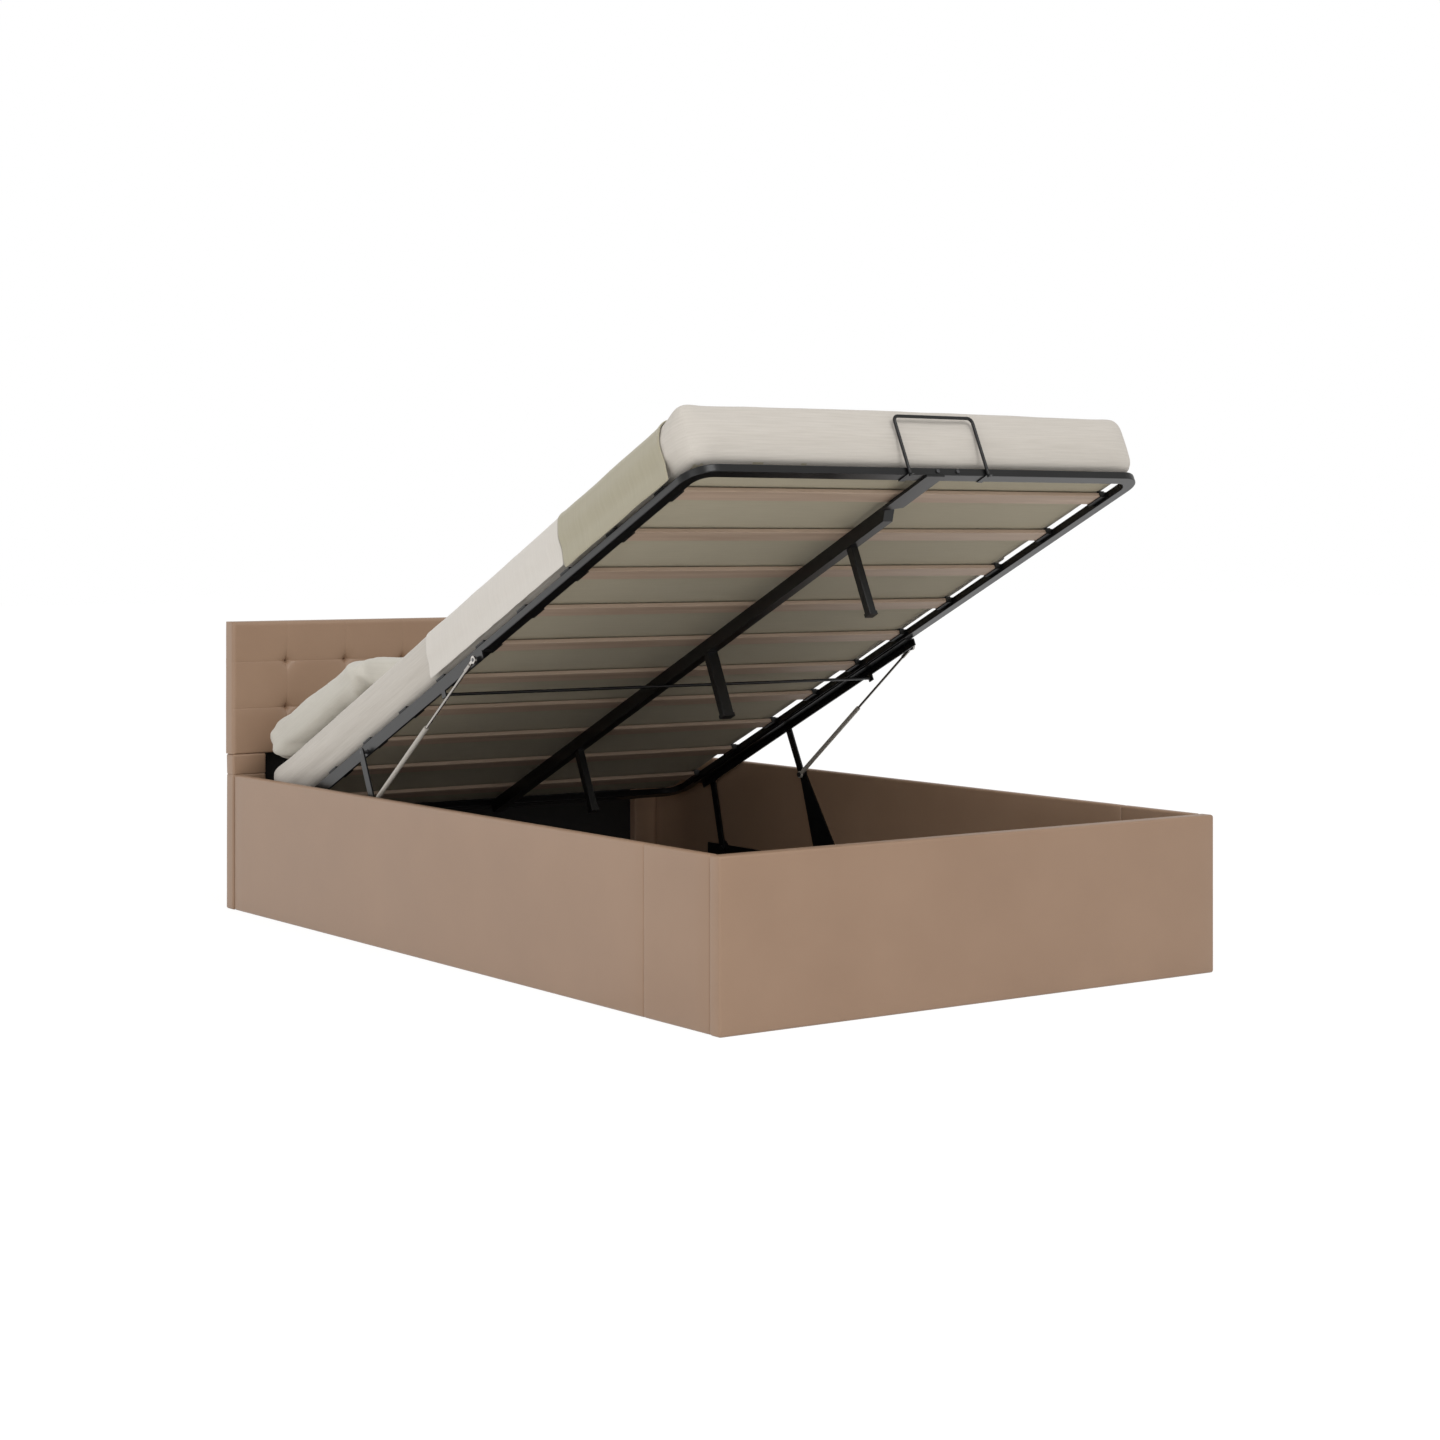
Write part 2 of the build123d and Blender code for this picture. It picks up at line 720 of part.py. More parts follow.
# Upper brackets: steel angles under and beside the rails, with an ear for the cross bar
cross_bar_s = deck_length - cross_bar_setback
ear_bottom = cross_bar_depth + cross_bar_radius * 2
for side, sign in (("left", -1), ("right", 1)):
    with BuildPart() as bracket:
        with BuildSketch(deck_side(sign * leaf_inner)):
            with BuildLine():
                Polyline(
                    (bracket_start, -rail_height),
                    (bracket_end, -rail_height),
                    (bracket_end, -bracket_bottom),
                    (bracket_start, -bracket_bottom),
                    close=True,
                )
            make_face()
            with Locations((cross_bar_s, -(rail_height + ear_bottom) * half_share)):
                Rectangle(cross_bar_ear_width, ear_bottom - rail_height)
            with Locations((front_pin_s, -pin_depth)):
                Circle(pin_radius, mode=Mode.SUBTRACT)
        extrude(amount=sign * bracket_leaf)
        with BuildSketch(deck_level(-rail_height - bracket_leaf)):
            with Locations(
                (
                    sign * (leaf_outer - rail_width * half_share),
                    (bracket_start + bracket_end) * half_share,
                )
            ):
                Rectangle(rail_width, bracket_end - bracket_start)
        extrude(amount=bracket_leaf)
    keep(bracket, "upper_bracket_" + side)

# Front pins: rivets that hang the brackets on the front arms
with BuildPart() as front_pins:
    for sign in (-1, 1):
        with BuildSketch(box_side(sign * (leaf_inner - bracket_gap))):
            with Locations(front_pin):
                Circle(pin_radius)
        extrude(amount=sign * (arm_outer + plane_gap * half_share - leaf_inner + bracket_gap))
        with BuildSketch(box_side(sign * leaf_inner)):
            with Locations(front_pin):
                Circle(pin_head_radius)
        extrude(amount=-sign * bracket_gap)
        with BuildSketch(box_side(sign * leaf_outer)):
            with Locations(front_pin):
                Circle(pin_head_radius)
        extrude(amount=sign * bracket_gap)
keep(front_pins, "front_arm_pins")

# Pins of the rear arms and of the gas rods: the wide head lies just clear of the bracket
head_start = leaf_outer + pin_head_gap
end_pins = (
    ("rear_arm_pin", rear_pin, arm_outer + plane_gap * half_share),
    ("gas_rod_pin", spring_pin, eye_outer + plane_gap),
)
for name, spot, reach in end_pins:
    for side, sign in (("left", -1), ("right", 1)):
        with BuildPart() as end_pin:
            with BuildSketch(box_side(sign * head_start)):
                with Locations(spot):
                    Circle(pin_radius)
            extrude(amount=sign * (reach - head_start))
            with BuildSketch(box_side(sign * head_start)):
                with Locations(spot):
                    Circle(pin_head_radius)
            extrude(amount=sign * bracket_gap)
        keep(end_pin, name + "_" + side)

# Cross bar: thin round bar that ties the two brackets together
with BuildPart() as cross_bar:
    with BuildSketch(deck_side(-leaf_inner)):
        with Locations((cross_bar_s, -cross_bar_depth)):
            Circle(cross_bar_radius)
    extrude(amount=leaf_inner * 2)
keep(cross_bar, "cross_bar")


# Mattress: crowned top, drawn-in sides, round corners, lofted through levels of its height
mattress_bottom = holder_top + mattress_lift
mattress_run = mattress_end - mattress_start


def level_of(share, grow):
    """Height on the deck of one level of the mattress grown by a skin."""
    rise = mattress_thickness * share + grow * (share - half_share) / half_share
    return mattress_bottom + rise


with BuildPart() as mattress:
    for share, inset_share in mattress_level_shares:
        inset = mattress_thickness * inset_share
        with BuildSketch(deck_level(level_of(share, 0))):
            with Locations((0, (mattress_start + mattress_end) * half_share)):
                RectangleRounded(
                    mattress_width - inset * 2,
                    mattress_run - inset * 2,
                    mattress_corner_radius,
                )
    loft(ruled=True)
keep(mattress, "mattress")

# Bed cover and throw: cloth folded over the mattress and down both sides
cloths = (
    ("bed_cover", cover_span, cover_thickness, cover_hem),
    ("throw_blanket", throw_span, throw_thickness, throw_hem),
)
for name, span, thickness, hem in cloths:
    with BuildPart() as cloth:
        for grow, mode in ((cover_gap + thickness, Mode.ADD), (cover_gap, Mode.SUBTRACT)):
            for share, inset_share in mattress_level_shares:
                inset = mattress_thickness * inset_share
                with BuildSketch(deck_level(level_of(share, grow))):
                    with Locations((0, (mattress_start + mattress_end) * half_share)):
                        RectangleRounded(
                            mattress_width + (grow - inset) * 2,
                            mattress_run + (grow - inset) * 2,
                            mattress_corner_radius + grow,
                        )
            loft(ruled=True, mode=mode)
        with BuildSketch(deck_level(hem)):
            with Locations((0, (span[0] + span[1]) * half_share)):
                Rectangle(mattress_width * 2, span[1] - span[0])
        extrude(amount=mattress_thickness * 2, mode=Mode.INTERSECT)
    keep(cloth, name)

# Pillow: soft cushion at the head end, thin rim and crowned middle
pillow_bottom = mattress_bottom + mattress_thickness + mattress_lift
with BuildPart() as pillow:
    for share, inset_share in pillow_level_shares:
        inset = pillow_thickness * inset_share
        with BuildSketch(deck_level(pillow_bottom + pillow_thickness * share)):
            with Locations((pillow_x, pillow_s)):
                RectangleRounded(
                    pillow_width - inset * 2,
                    pillow_length - inset * 2,
                    pillow_corner_radius,
                )
    loft(ruled=True)
keep(pillow, "pillow")
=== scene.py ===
# %% [markdown]
# # An ottoman storage bed, dressed in Blender
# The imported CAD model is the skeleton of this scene: an upholstered box, a slatted deck that
# stands open on gas springs, a mattress and bedding. The rigid steel, plastic and wood parts
# keep their CAD shapes and get real finishes. Everything soft is modelled again here, because
# cloth, padding and tufting are what a solid model can't show.

import math

import bpy
import numpy as np
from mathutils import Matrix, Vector, noise


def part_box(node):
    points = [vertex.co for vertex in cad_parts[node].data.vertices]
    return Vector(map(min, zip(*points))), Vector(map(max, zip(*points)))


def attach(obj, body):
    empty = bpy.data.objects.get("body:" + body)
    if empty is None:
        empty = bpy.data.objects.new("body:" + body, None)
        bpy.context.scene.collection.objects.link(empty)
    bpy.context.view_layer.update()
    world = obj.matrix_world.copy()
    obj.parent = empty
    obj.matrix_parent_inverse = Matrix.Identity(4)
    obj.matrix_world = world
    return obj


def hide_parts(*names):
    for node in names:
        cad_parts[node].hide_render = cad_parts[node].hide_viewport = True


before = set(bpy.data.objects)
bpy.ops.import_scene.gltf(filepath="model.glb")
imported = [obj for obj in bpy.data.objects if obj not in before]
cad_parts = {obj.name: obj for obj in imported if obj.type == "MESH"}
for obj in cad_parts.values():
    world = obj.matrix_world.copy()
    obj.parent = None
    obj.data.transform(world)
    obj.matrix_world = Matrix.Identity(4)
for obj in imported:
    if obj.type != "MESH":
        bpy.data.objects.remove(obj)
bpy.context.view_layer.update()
mm = 0.001

# %% [markdown]
# The bed is seen from low down, to the left of its foot end, through a level camera. A level
# camera keeps every upright edge upright, and the picture is framed by sliding the lens down,
# which Blender calls shift. The numbers come from solving the box's corners for one camera.

# %% Camera
photo_px = 1440
focal_px = 2654.16
horizon_px = 540.0
turn_to_right = math.radians(35.41)
camera_data = bpy.data.cameras.new("studio_camera")
camera_data.sensor_width = 36.0
camera_data.lens = focal_px / photo_px * camera_data.sensor_width
camera_data.shift_y = (horizon_px - photo_px / 2) / photo_px
camera = bpy.data.objects.new("studio_camera", camera_data)
camera.location = (-3.42246, -4.96986, 0.90422)
camera.rotation_euler = (math.pi / 2, 0, -turn_to_right)
bpy.context.collection.objects.link(camera)
bpy.context.scene.camera = camera
print("lens", round(camera_data.lens, 2), "mm")

# %% [markdown]
# Small helpers keep the materials short. One turns a hex colour, as a paint chart gives it,
# into the linear colour that Blender's shaders expect. One adds a node, sets it and links it
# in one line. The last starts a material with its plain values.


# %% Colour and node helpers
def colour(hex_code):
    """Linear RGBA of an sRGB hex colour."""
    parts = [int(hex_code[i : i + 2], 16) / 255 for i in (1, 3, 5)]
    return [c / 12.92 if c <= 0.04045 else ((c + 0.055) / 1.055) ** 2.4 for c in parts] + [1.0]


def add_node(tree, kind, settings=None, inputs=None, ramp=(), **links):
    """Adds a node, sets it, and links its sockets by name, or by number as i0, i1, i2."""
    node = tree.nodes.new(kind)
    for name, value in (settings or {}).items():
        setattr(node, name, value)
    for name, value in (inputs or {}).items():
        node.inputs[name].default_value = value
    for index, (position, hex_code) in enumerate(ramp):
        node.color_ramp.elements[index].position = position
        node.color_ramp.elements[index].color = colour(hex_code)
    for name, source in links.items():
        by_number = name[0] == "i" and name[1:].isdigit()
        tree.links.new(source, node.inputs[int(name[1:]) if by_number else name])
    return node


def new_material(name, base, roughness, metallic=0.0, **extra):
    """A principled material with its plain values set. Returns the material, tree and shader."""
    material = bpy.data.materials.new(name)
    material.use_nodes = True
    material.diffuse_color = colour(base)
    shader = material.node_tree.nodes["Principled BSDF"]
    shader.inputs["Base Color"].default_value = colour(base)
    shader.inputs["Roughness"].default_value = roughness
    shader.inputs["Metallic"].default_value = metallic
    for key, value in extra.items():
        shader.inputs[key.replace("_", " ")].default_value = value
    return material, material.node_tree, shader


print("white is", colour("#FFFFFF"))

# %% [markdown]
# Artificial leather is a thin coloured skin on a knitted back. It is embossed with a fine
# grain and sprayed with a satin lacquer, so it shows a broad soft sheen, and slightly uneven
# colour and gloss. The real grain is about 1 mm, too fine for this view, so it is drawn at
# 3 mm. A pattern's scale says how many of its marks fit in a metre, so 3 mm grain has 330.

# %% Artificial leather
leather, tree, shader = new_material(
    "artificial_leather_taupe", "#9B7E67", 0.44, Coat_Weight=0.12, Coat_Roughness=0.35
)
pores_per_metre, clouds_per_metre = 330.0, 5.0
place = add_node(tree, "ShaderNodeTexCoord").outputs["Object"]
pores = add_node(
    tree,
    "ShaderNodeTexVoronoi",
    {"feature": "DISTANCE_TO_EDGE"},
    {"Scale": pores_per_metre},
    Vector=place,
)
cloud = add_node(
    tree, "ShaderNodeTexNoise", None, {"Scale": clouds_per_metre, "Detail": 3.0}, Vector=place
)
tone = add_node(
    tree,
    "ShaderNodeValToRGB",
    ramp=((0.3, "#997C65"), (0.7, "#9F826B")),
    Fac=cloud.outputs["Fac"],
)
gloss = add_node(
    tree,
    "ShaderNodeMapRange",
    None,
    {"From Min": 0.3, "From Max": 0.7, "To Min": 0.43, "To Max": 0.48},
    Value=cloud.outputs["Fac"],
)
grain = add_node(
    tree,
    "ShaderNodeBump",
    None,
    {"Strength": 0.12, "Distance": 0.4 * mm},
    Height=pores.outputs["Distance"],
)
swell = add_node(
    tree,
    "ShaderNodeBump",
    None,
    {"Strength": 0.12, "Distance": 3 * mm},
    Height=cloud.outputs["Fac"],
    Normal=grain.outputs["Normal"],
)
tree.links.new(tone.outputs["Color"], shader.inputs["Base Color"])
tree.links.new(gloss.outputs["Result"], shader.inputs["Roughness"])
tree.links.new(swell.outputs["Normal"], shader.inputs["Normal"])
print(leather.name, len(tree.nodes), "nodes")

# %% [markdown]
# Powder coat is sprayed as dry plastic dust and baked. It gives steel tube an even satin black
# with a faint orange peel, here about 2.5 mm from bump to bump, and a hardly visible haze
# where the dust lay thicker.

# %% Powder coat
powder_coat, tree, shader = new_material(
    "powder_coated_steel_black", "#0F1011", 0.3, Specular_IOR_Level=0.4
)
peel_per_metre, haze_per_metre = 400.0, 9.0
place = add_node(tree, "ShaderNodeTexCoord").outputs["Object"]
peel = add_node(
    tree, "ShaderNodeTexNoise", None, {"Scale": peel_per_metre, "Detail": 2.0}, Vector=place
)
haze = add_node(
    tree, "ShaderNodeTexNoise", None, {"Scale": haze_per_metre, "Detail": 4.0}, Vector=place
)
tone = add_node(
    tree,
    "ShaderNodeValToRGB",
    ramp=((0.35, "#0C0C0D"), (0.7, "#131415")),
    Fac=haze.outputs["Fac"],
)
bump = add_node(
    tree,
    "ShaderNodeBump",
    None,
    {"Strength": 0.15, "Distance": 0.3 * mm},
    Height=peel.outputs["Fac"],
)
tree.links.new(tone.outputs["Color"], shader.inputs["Base Color"])
tree.links.new(bump.outputs["Normal"], shader.inputs["Normal"])
print(powder_coat.name, len(tree.nodes), "nodes")

# %% [markdown]
# The small hardware is dark zinc plate, the gas spring's rod is hard chrome, its cylinder is
# sprayed enamel, and the slat holders are moulded polypropylene. Each is one even colour whose
# gloss varies a little: tumbling marks on the metals, flow marks on the plastic. The real marks
# are too fine to show, so they are drawn 2 to 17 mm apart. What tells these finishes apart to
# the eye is how sharp their highlights are.


# %% Metals, enamel and plastic
def even_finish(name, base, roughness, metallic, marks_per_metre):
    """One even colour with faint marks in its gloss."""
    material, tree, shader = new_material(name, base, roughness, metallic)
    place = add_node(tree, "ShaderNodeTexCoord").outputs["Object"]
    marks = add_node(
        tree, "ShaderNodeTexNoise", None, {"Scale": marks_per_metre, "Detail": 3.0}, Vector=place
    )
    gloss = add_node(
        tree,
        "ShaderNodeMapRange",
        None,
        {
            "From Min": 0.3,
            "From Max": 0.7,
            "To Min": roughness * 0.8,
            "To Max": roughness * 1.25,
        },
        Value=marks.outputs["Fac"],
    )
    tree.links.new(gloss.outputs["Result"], shader.inputs["Roughness"])
    return material


zinc = even_finish("dark_zinc_plated_steel", "#5E5E60", 0.4, 1.0, 300.0)
chrome = even_finish("hard_chromed_rod", "#A9A5A0", 0.26, 1.0, 120.0)
enamel = even_finish("grey_cylinder_enamel", "#B5B0A8", 0.32, 0.0, 60.0)
polypropylene = even_finish("moulded_black_polypropylene", "#161617", 0.5, 0.0, 500.0)
print("materials so far:", len(bpy.data.materials))

# %% [markdown]
# Bed slats are pressed from birch veneers. Their faces show long fine grain along the slat,
# and in this light they read as a dull pinkish beige. The grain's broadest streaks are 17 mm
# wide, and the mapping draws them out to 280 mm. The battens are planed pine, and the floor and
# headboard boards are covered, so their pattern is the same in all directions.


# %% Wood and boards
streaks_per_metre = 60.0


def plain_wood(name, dark, light, roughness, stretch):
    """Wood or board whose grain is drawn out by stretch."""
    material, tree, shader = new_material(name, light, roughness)
    place = add_node(tree, "ShaderNodeTexCoord").outputs["Object"]
    along = add_node(tree, "ShaderNodeMapping", None, {"Scale": stretch}, Vector=place)
    grain = add_node(
        tree,
        "ShaderNodeTexNoise",
        None,
        {"Scale": streaks_per_metre, "Detail": 6.0, "Roughness": 0.6},
        Vector=along.outputs[0],
    )
    tone = add_node(
        tree, "ShaderNodeValToRGB", ramp=((0.3, dark), (0.7, light)), Fac=grain.outputs["Fac"]
    )
    bump = add_node(
        tree,
        "ShaderNodeBump",
        None,
        {"Strength": 0.2, "Distance": 0.4 * mm},
        Height=grain.outputs["Fac"],
    )
    tree.links.new(tone.outputs["Color"], shader.inputs["Base Color"])
    tree.links.new(bump.outputs["Normal"], shader.inputs["Normal"])
    return material


across_the_bed, all_round = (0.06, 1.0, 1.0), (1.0, 1.0, 1.0)
birch = plain_wood("pressed_birch_slat", "#B29B88", "#C6B09D", 0.55, across_the_bed)
pine = plain_wood("planed_pine_batten", "#A98A5F", "#C7A87A", 0.6, across_the_bed)
floor_board = plain_wood("grey_covered_board", "#3C3937", "#4A4643", 0.7, all_round)
dark_board = plain_wood("black_covered_board", "#0E0D0D", "#171615", 0.7, all_round)
print("materials so far:", len(bpy.data.materials))

# %% [markdown]
# The bedding is woven cloth. A weave is two sets of threads, so its pattern is two sets of
# waves, read from a UV map that is laid out in metres along and across the cloth. Uneven
# threads show as faint streaks. Real threads are half a millimetre apart; here they are drawn
# 1.8 to 3 mm apart so that they show.


# %% Woven cloth
def woven(name, dark, light, thread_mm, slub, sheen):
    """Plain-woven cloth with uneven threads, read from the UV map in metres."""
    material, tree, shader = new_material(
        name, light, 0.85, Sheen_Weight=sheen, Sheen_Roughness=0.5
    )
    plan = add_node(tree, "ShaderNodeUVMap", {"uv_map": "cloth"}).outputs["UV"]
    threads = {
        "Scale": 100 * math.pi / thread_mm,
        "Distortion": slub,
        "Detail": 2.0,
        "Detail Scale": 0.6,
    }
    warp, weft = (
        add_node(tree, "ShaderNodeTexWave", {"bands_direction": way}, threads, Vector=plan)
        for way in ("X", "Y")
    )
    weave = add_node(
        tree,
        "ShaderNodeMath",
        {"operation": "ADD"},
        i0=warp.outputs["Fac"],
        i1=weft.outputs["Fac"],
    )
    drawn_out = add_node(tree, "ShaderNodeMapping", None, {"Scale": (9.0, 260.0, 1.0)}, Vector=plan)
    streaks = add_node(
        tree,
        "ShaderNodeTexNoise",
        None,
        {"Scale": 1.0, "Detail": 4.0, "Roughness": 0.6},
        Vector=drawn_out.outputs[0],
    )
    faint_weave = add_node(
        tree, "ShaderNodeMath", {"operation": "MULTIPLY"}, {1: 0.12}, i0=weave.outputs[0]
    )
    share = add_node(
        tree,
        "ShaderNodeMath",
        {"operation": "MULTIPLY_ADD"},
        {1: 0.9},
        i0=streaks.outputs["Fac"],
        i2=faint_weave.outputs[0],
    )
    tone = add_node(
        tree, "ShaderNodeValToRGB", ramp=((0.35, dark), (0.75, light)), Fac=share.outputs[0]
    )
    bump = add_node(
        tree,
        "ShaderNodeBump",
        None,
        {"Strength": 0.25, "Distance": 0.4 * mm},
        Height=weave.outputs[0],
    )
    tree.links.new(tone.outputs["Color"], shader.inputs["Base Color"])
    tree.links.new(bump.outputs["Normal"], shader.inputs["Normal"])
    return material


ticking = woven("linen_look_mattress_ticking", "#C2BCB3", "#CEC8C0", 2.4, 1.5, 0.25)
base_cloth = woven("non_slip_base_cloth", "#B3AB95", "#BAB29C", 2.4, 1.5, 0.1)
cover_cotton = woven("white_cotton_bed_cover", "#D5D0C9", "#DBD6CF", 1.8, 1.0, 0.25)
throw_wool = woven("olive_beige_throw", "#A39C87", "#ABA58F", 3.0, 2.0, 0.35)
pillow_cotton = woven("white_cotton_pillowcase", "#C7C3B9", "#CFCBC1", 1.8, 1.0, 0.25)
print("materials so far:", len(bpy.data.materials))

# %% [markdown]
# The steel, plastic and wood parts of the CAD model already have the right shape, so each one
# only swaps its material. A list of name beginnings says who gets what, and the frame, legs
# and links, which aren't in the list, get powder coat.

# %% Finish the CAD parts
finishes = (
    ("slat_0", birch),
    ("slat_1", birch),
    ("slat_holders", polypropylene),
    ("floor_battens", pine),
    ("storage_floor", floor_board),
    ("headboard_lower_board", dark_board),
    ("gas_cylinder", enamel),
    ("gas_rod_pin", zinc),
    ("gas_rod_l", chrome),
    ("gas_rod_r", chrome),
    ("base_pivot_pins", zinc),
    ("front_arm_pins", zinc),
    ("rear_arm_pin", zinc),
    ("foot_bar_bolts", zinc),
)
for name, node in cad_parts.items():
    fitting = [material for beginning, material in finishes if name.startswith(beginning)]
    node.data.materials.clear()
    node.data.materials.append(fitting[0] if fitting else powder_coat)
print("finished", len(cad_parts), "CAD parts")

# %% [markdown]
# Blender's operators act on whatever is selected, so one helper makes a piece the only one,
# and one writes a piece's place into its mesh. Others read and write a mesh's points as
# arrays, which is quicker than one point at a time, and give the two shapes that soft things
# are made of here: a smooth hump and smooth noise.


# %% Helpers for selecting and for points
def select_only(piece):
    """Makes one piece the selected and active one, in object mode."""
    if bpy.context.object and bpy.context.object.mode != "OBJECT":
        bpy.ops.object.mode_set(mode="OBJECT")
    bpy.ops.object.select_all(action="DESELECT")
    piece.select_set(True)
    bpy.context.view_layer.objects.active = piece


def apply_place(piece):
    """Writes the object's place into its mesh."""
    select_only(piece)
    bpy.ops.object.transform_apply(location=True, rotation=True, scale=True)


def read_array(piece, what):
    """The position ("co") or the normal of every point of the piece's mesh."""
    flat = np.empty(len(piece.data.vertices) * 3)
    piece.data.vertices.foreach_get(what, flat)
    return flat.reshape(-1, 3)


def set_points(piece, places):
    """Moves the points of the piece's mesh."""
    piece.data.vertices.foreach_set("co", np.asarray(places, dtype=float).ravel())
    piece.data.update()


def hump(distance, height, width):
    """A smooth hump: height where the distance is 0, fading out over the width."""
    return height * np.exp(-((distance / width) ** 2))


def noise_at(x, y, z):
    """Smooth noise from -1 to 1 at each place."""
    return np.array([noise.noise(Vector(p)) for p in np.column_stack(np.broadcast_arrays(x, y, z))])


print("a hump 1 mm high, one width away:", round(hump(1.0, 1.0, 1.0), 3), "mm")

# %% [markdown]
# The box is made of boards wrapped in artificial leather over thin foam. The wrap rounds every
# edge and is joined with flat seams. Each board starts as a block at the CAD board's size. Its
# edges are bevelled, because a real edge is never sharp, it is cut into a net fine enough to
# swell, and the cuts beside a seam are pressed in. Straight cuts keep the seam straight, which
# a remeshed net wouldn't.

# %% Cut a board into a net
net_step = 0.05
long_side = 0.1


def add_block(name, size, middle):
    """A block of the given size round its middle."""
    bpy.ops.mesh.primitive_cube_add(size=1)
    piece = bpy.context.object
    piece.name = name
    piece.scale = size
    piece.location = middle
    apply_place(piece)
    return piece


def cut_across(piece, axis, places):
    """Cuts the whole mesh with planes square to an axis."""
    select_only(piece)
    bpy.ops.object.mode_set(mode="EDIT")
    for value in places:
        bpy.ops.mesh.select_all(action="SELECT")
        normal = tuple(1.0 if i == axis else 0.0 for i in range(3))
        bpy.ops.mesh.bisect(plane_co=tuple(value * n for n in normal), plane_no=normal)
    bpy.ops.object.mode_set(mode="OBJECT")


def net_board(name, low, high, rounding):
    """A block in the box low to high with all its edges rounded, cut into a net."""
    size = high - low
    piece = add_block(name, size, (high + low) / 2)
    bpy.ops.object.mode_set(mode="EDIT")
    bpy.ops.mesh.select_all(action="SELECT")
    bpy.ops.mesh.bevel(offset=rounding, segments=4, profile=0.5, affect="EDGES")
    bpy.ops.object.mode_set(mode="OBJECT")
    for axis in range(3):
        if size[axis] > long_side:
            count = max(2, round(size[axis] / net_step))
            cut_across(piece, axis, [low[axis] + size[axis] * i / count for i in range(1, count)])
    return piece


print("net squares of about", round(net_step / mm), "mm")

# %% [markdown]
# Foam under a tight skin swells by about a millimetre, never evenly, and a seam holds it down.
# So each point learns which way is out of the board, is pressed in near a seam by a narrow
# groove and a wider hollow, and is moved by smooth noise that fades out towards the edges. One
# helper then smooths, dresses and files a finished piece, here and for all that follow.

# %% Upholster the boards
edge_rounding = 5.5 * mm
swell_height = 1.2 * mm
seam_cuts = (-0.004, -0.002, -0.0009, 0.0, 0.0009, 0.002, 0.004)


def finish_piece(piece, material, body, slot_name, *nodes, angle=40):
    """Smooths, dresses and files a finished piece."""
    select_only(piece)
    bpy.ops.object.shade_smooth_by_angle(angle=math.radians(angle))
    piece.data.materials.clear()
    piece.data.materials.append(material)
    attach(piece, body)
    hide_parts(*nodes)
    print(piece.name, len(piece.data.polygons), "faces")


def board(name, node, long_axis, seams=()):
    """An upholstered board in a CAD node's box, with seams pressed in along long_axis."""
    low, high = (np.array(corner, dtype=float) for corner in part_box(node))
    size, middle = high - low, (high + low) / 2
    piece = net_board(name, low, high, edge_rounding)
    cut_across(piece, long_axis, [seam + step for seam in seams for step in seam_cuts])
    places = read_array(piece, "co")
    flat_half = size / 2 - edge_rounding / 2
    out = np.clip((places - middle) / flat_half, -1, 1)
    out = np.where(np.abs(out) > 0.98, np.sign(out), 0)
    out[:, long_axis] = 0
    for seam in seams:
        away = places[:, long_axis] - seam
        groove = hump(away, 1.3 * mm, 1.1 * mm) + hump(away, 0.5 * mm, 4 * mm)
        places -= out * groove[:, None]
    swell = noise_at(*(places.T * 3.1))
    inside = np.ones(len(places))
    for axis in range(3):
        if size[axis] > long_side:
            edge = np.minimum(places[:, axis] - low[axis], high[axis] - places[:, axis])
            inside *= np.clip(edge / net_step, 0, 1)
    set_points(piece, places + out * (swell_height * (swell - 0.4) * inside)[:, None])
    finish_piece(piece, leather, "bed_box", "upholstery", node)


half_length = 2.093 / 2
side_seam = 0.254 - half_length
side_height = 0.33
board("foot_board_cover", "foot_panel", 0)
for side in ("left", "right"):
    board("side_board_cover_" + side, "side_panel_" + side, 1, (side_seam,))
    board("headboard_post_cover_" + side, "headboard_post_" + side, 2, (side_height,))

# %% [markdown]
# The headboard pad is foam under the same skin, sewn into squares and pulled in at two rows of
# tufts. A remeshed pad would need millions of faces to show a seam, so it starts as a flat
# grid whose lines lie closer together near seams, tufts and the border.

# %% Grid lines for the headboard pad
tuft_step = 0.1623
tuft_xs = [(i - 3) * tuft_step for i in range(7)]
tuft_zs = [0.605, 0.491]
pad_low, pad_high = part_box("headboard_pad")
beside_a_line = np.cumsum([0.0006, 0.001, 0.0015, 0.002, 0.003, 0.004, 0.005, 0.006, 0.008])
beside_the_rim = [0.0004, 0.0014, 0.003, 0.005, 0.0075, 0.011, 0.016, 0.024]
coarse_step, least_step = 0.012, 0.0005


def grid_lines(low_end, high_end, lines):
    """Places from low_end to high_end, closer together near the given lines and both ends."""
    spots = {low_end, high_end}
    for line in lines:
        spots.add(line)
        for step in beside_a_line:
            spots.update((line - step, line + step))
    for step in beside_the_rim:
        spots.update((low_end + step, high_end - step))
    spots.update(np.arange(low_end, high_end, coarse_step).tolist())
    kept = []
    for spot in sorted(s for s in spots if low_end <= s <= high_end):
        if not kept or spot - kept[-1] >= least_step:
            kept.append(spot)
    kept[-1] = high_end
    return np.array(kept)


grid_x = grid_lines(pad_low[0], pad_high[0], tuft_xs)
grid_z = grid_lines(pad_low[2], pad_high[2], tuft_zs)
print(len(grid_x), "by", len(grid_z), "lines")

# %% [markdown]
# Blender's grid has even lines. Each of its points looks up which column and row it is in, and
# moves to that column's and row's place in the lists above.

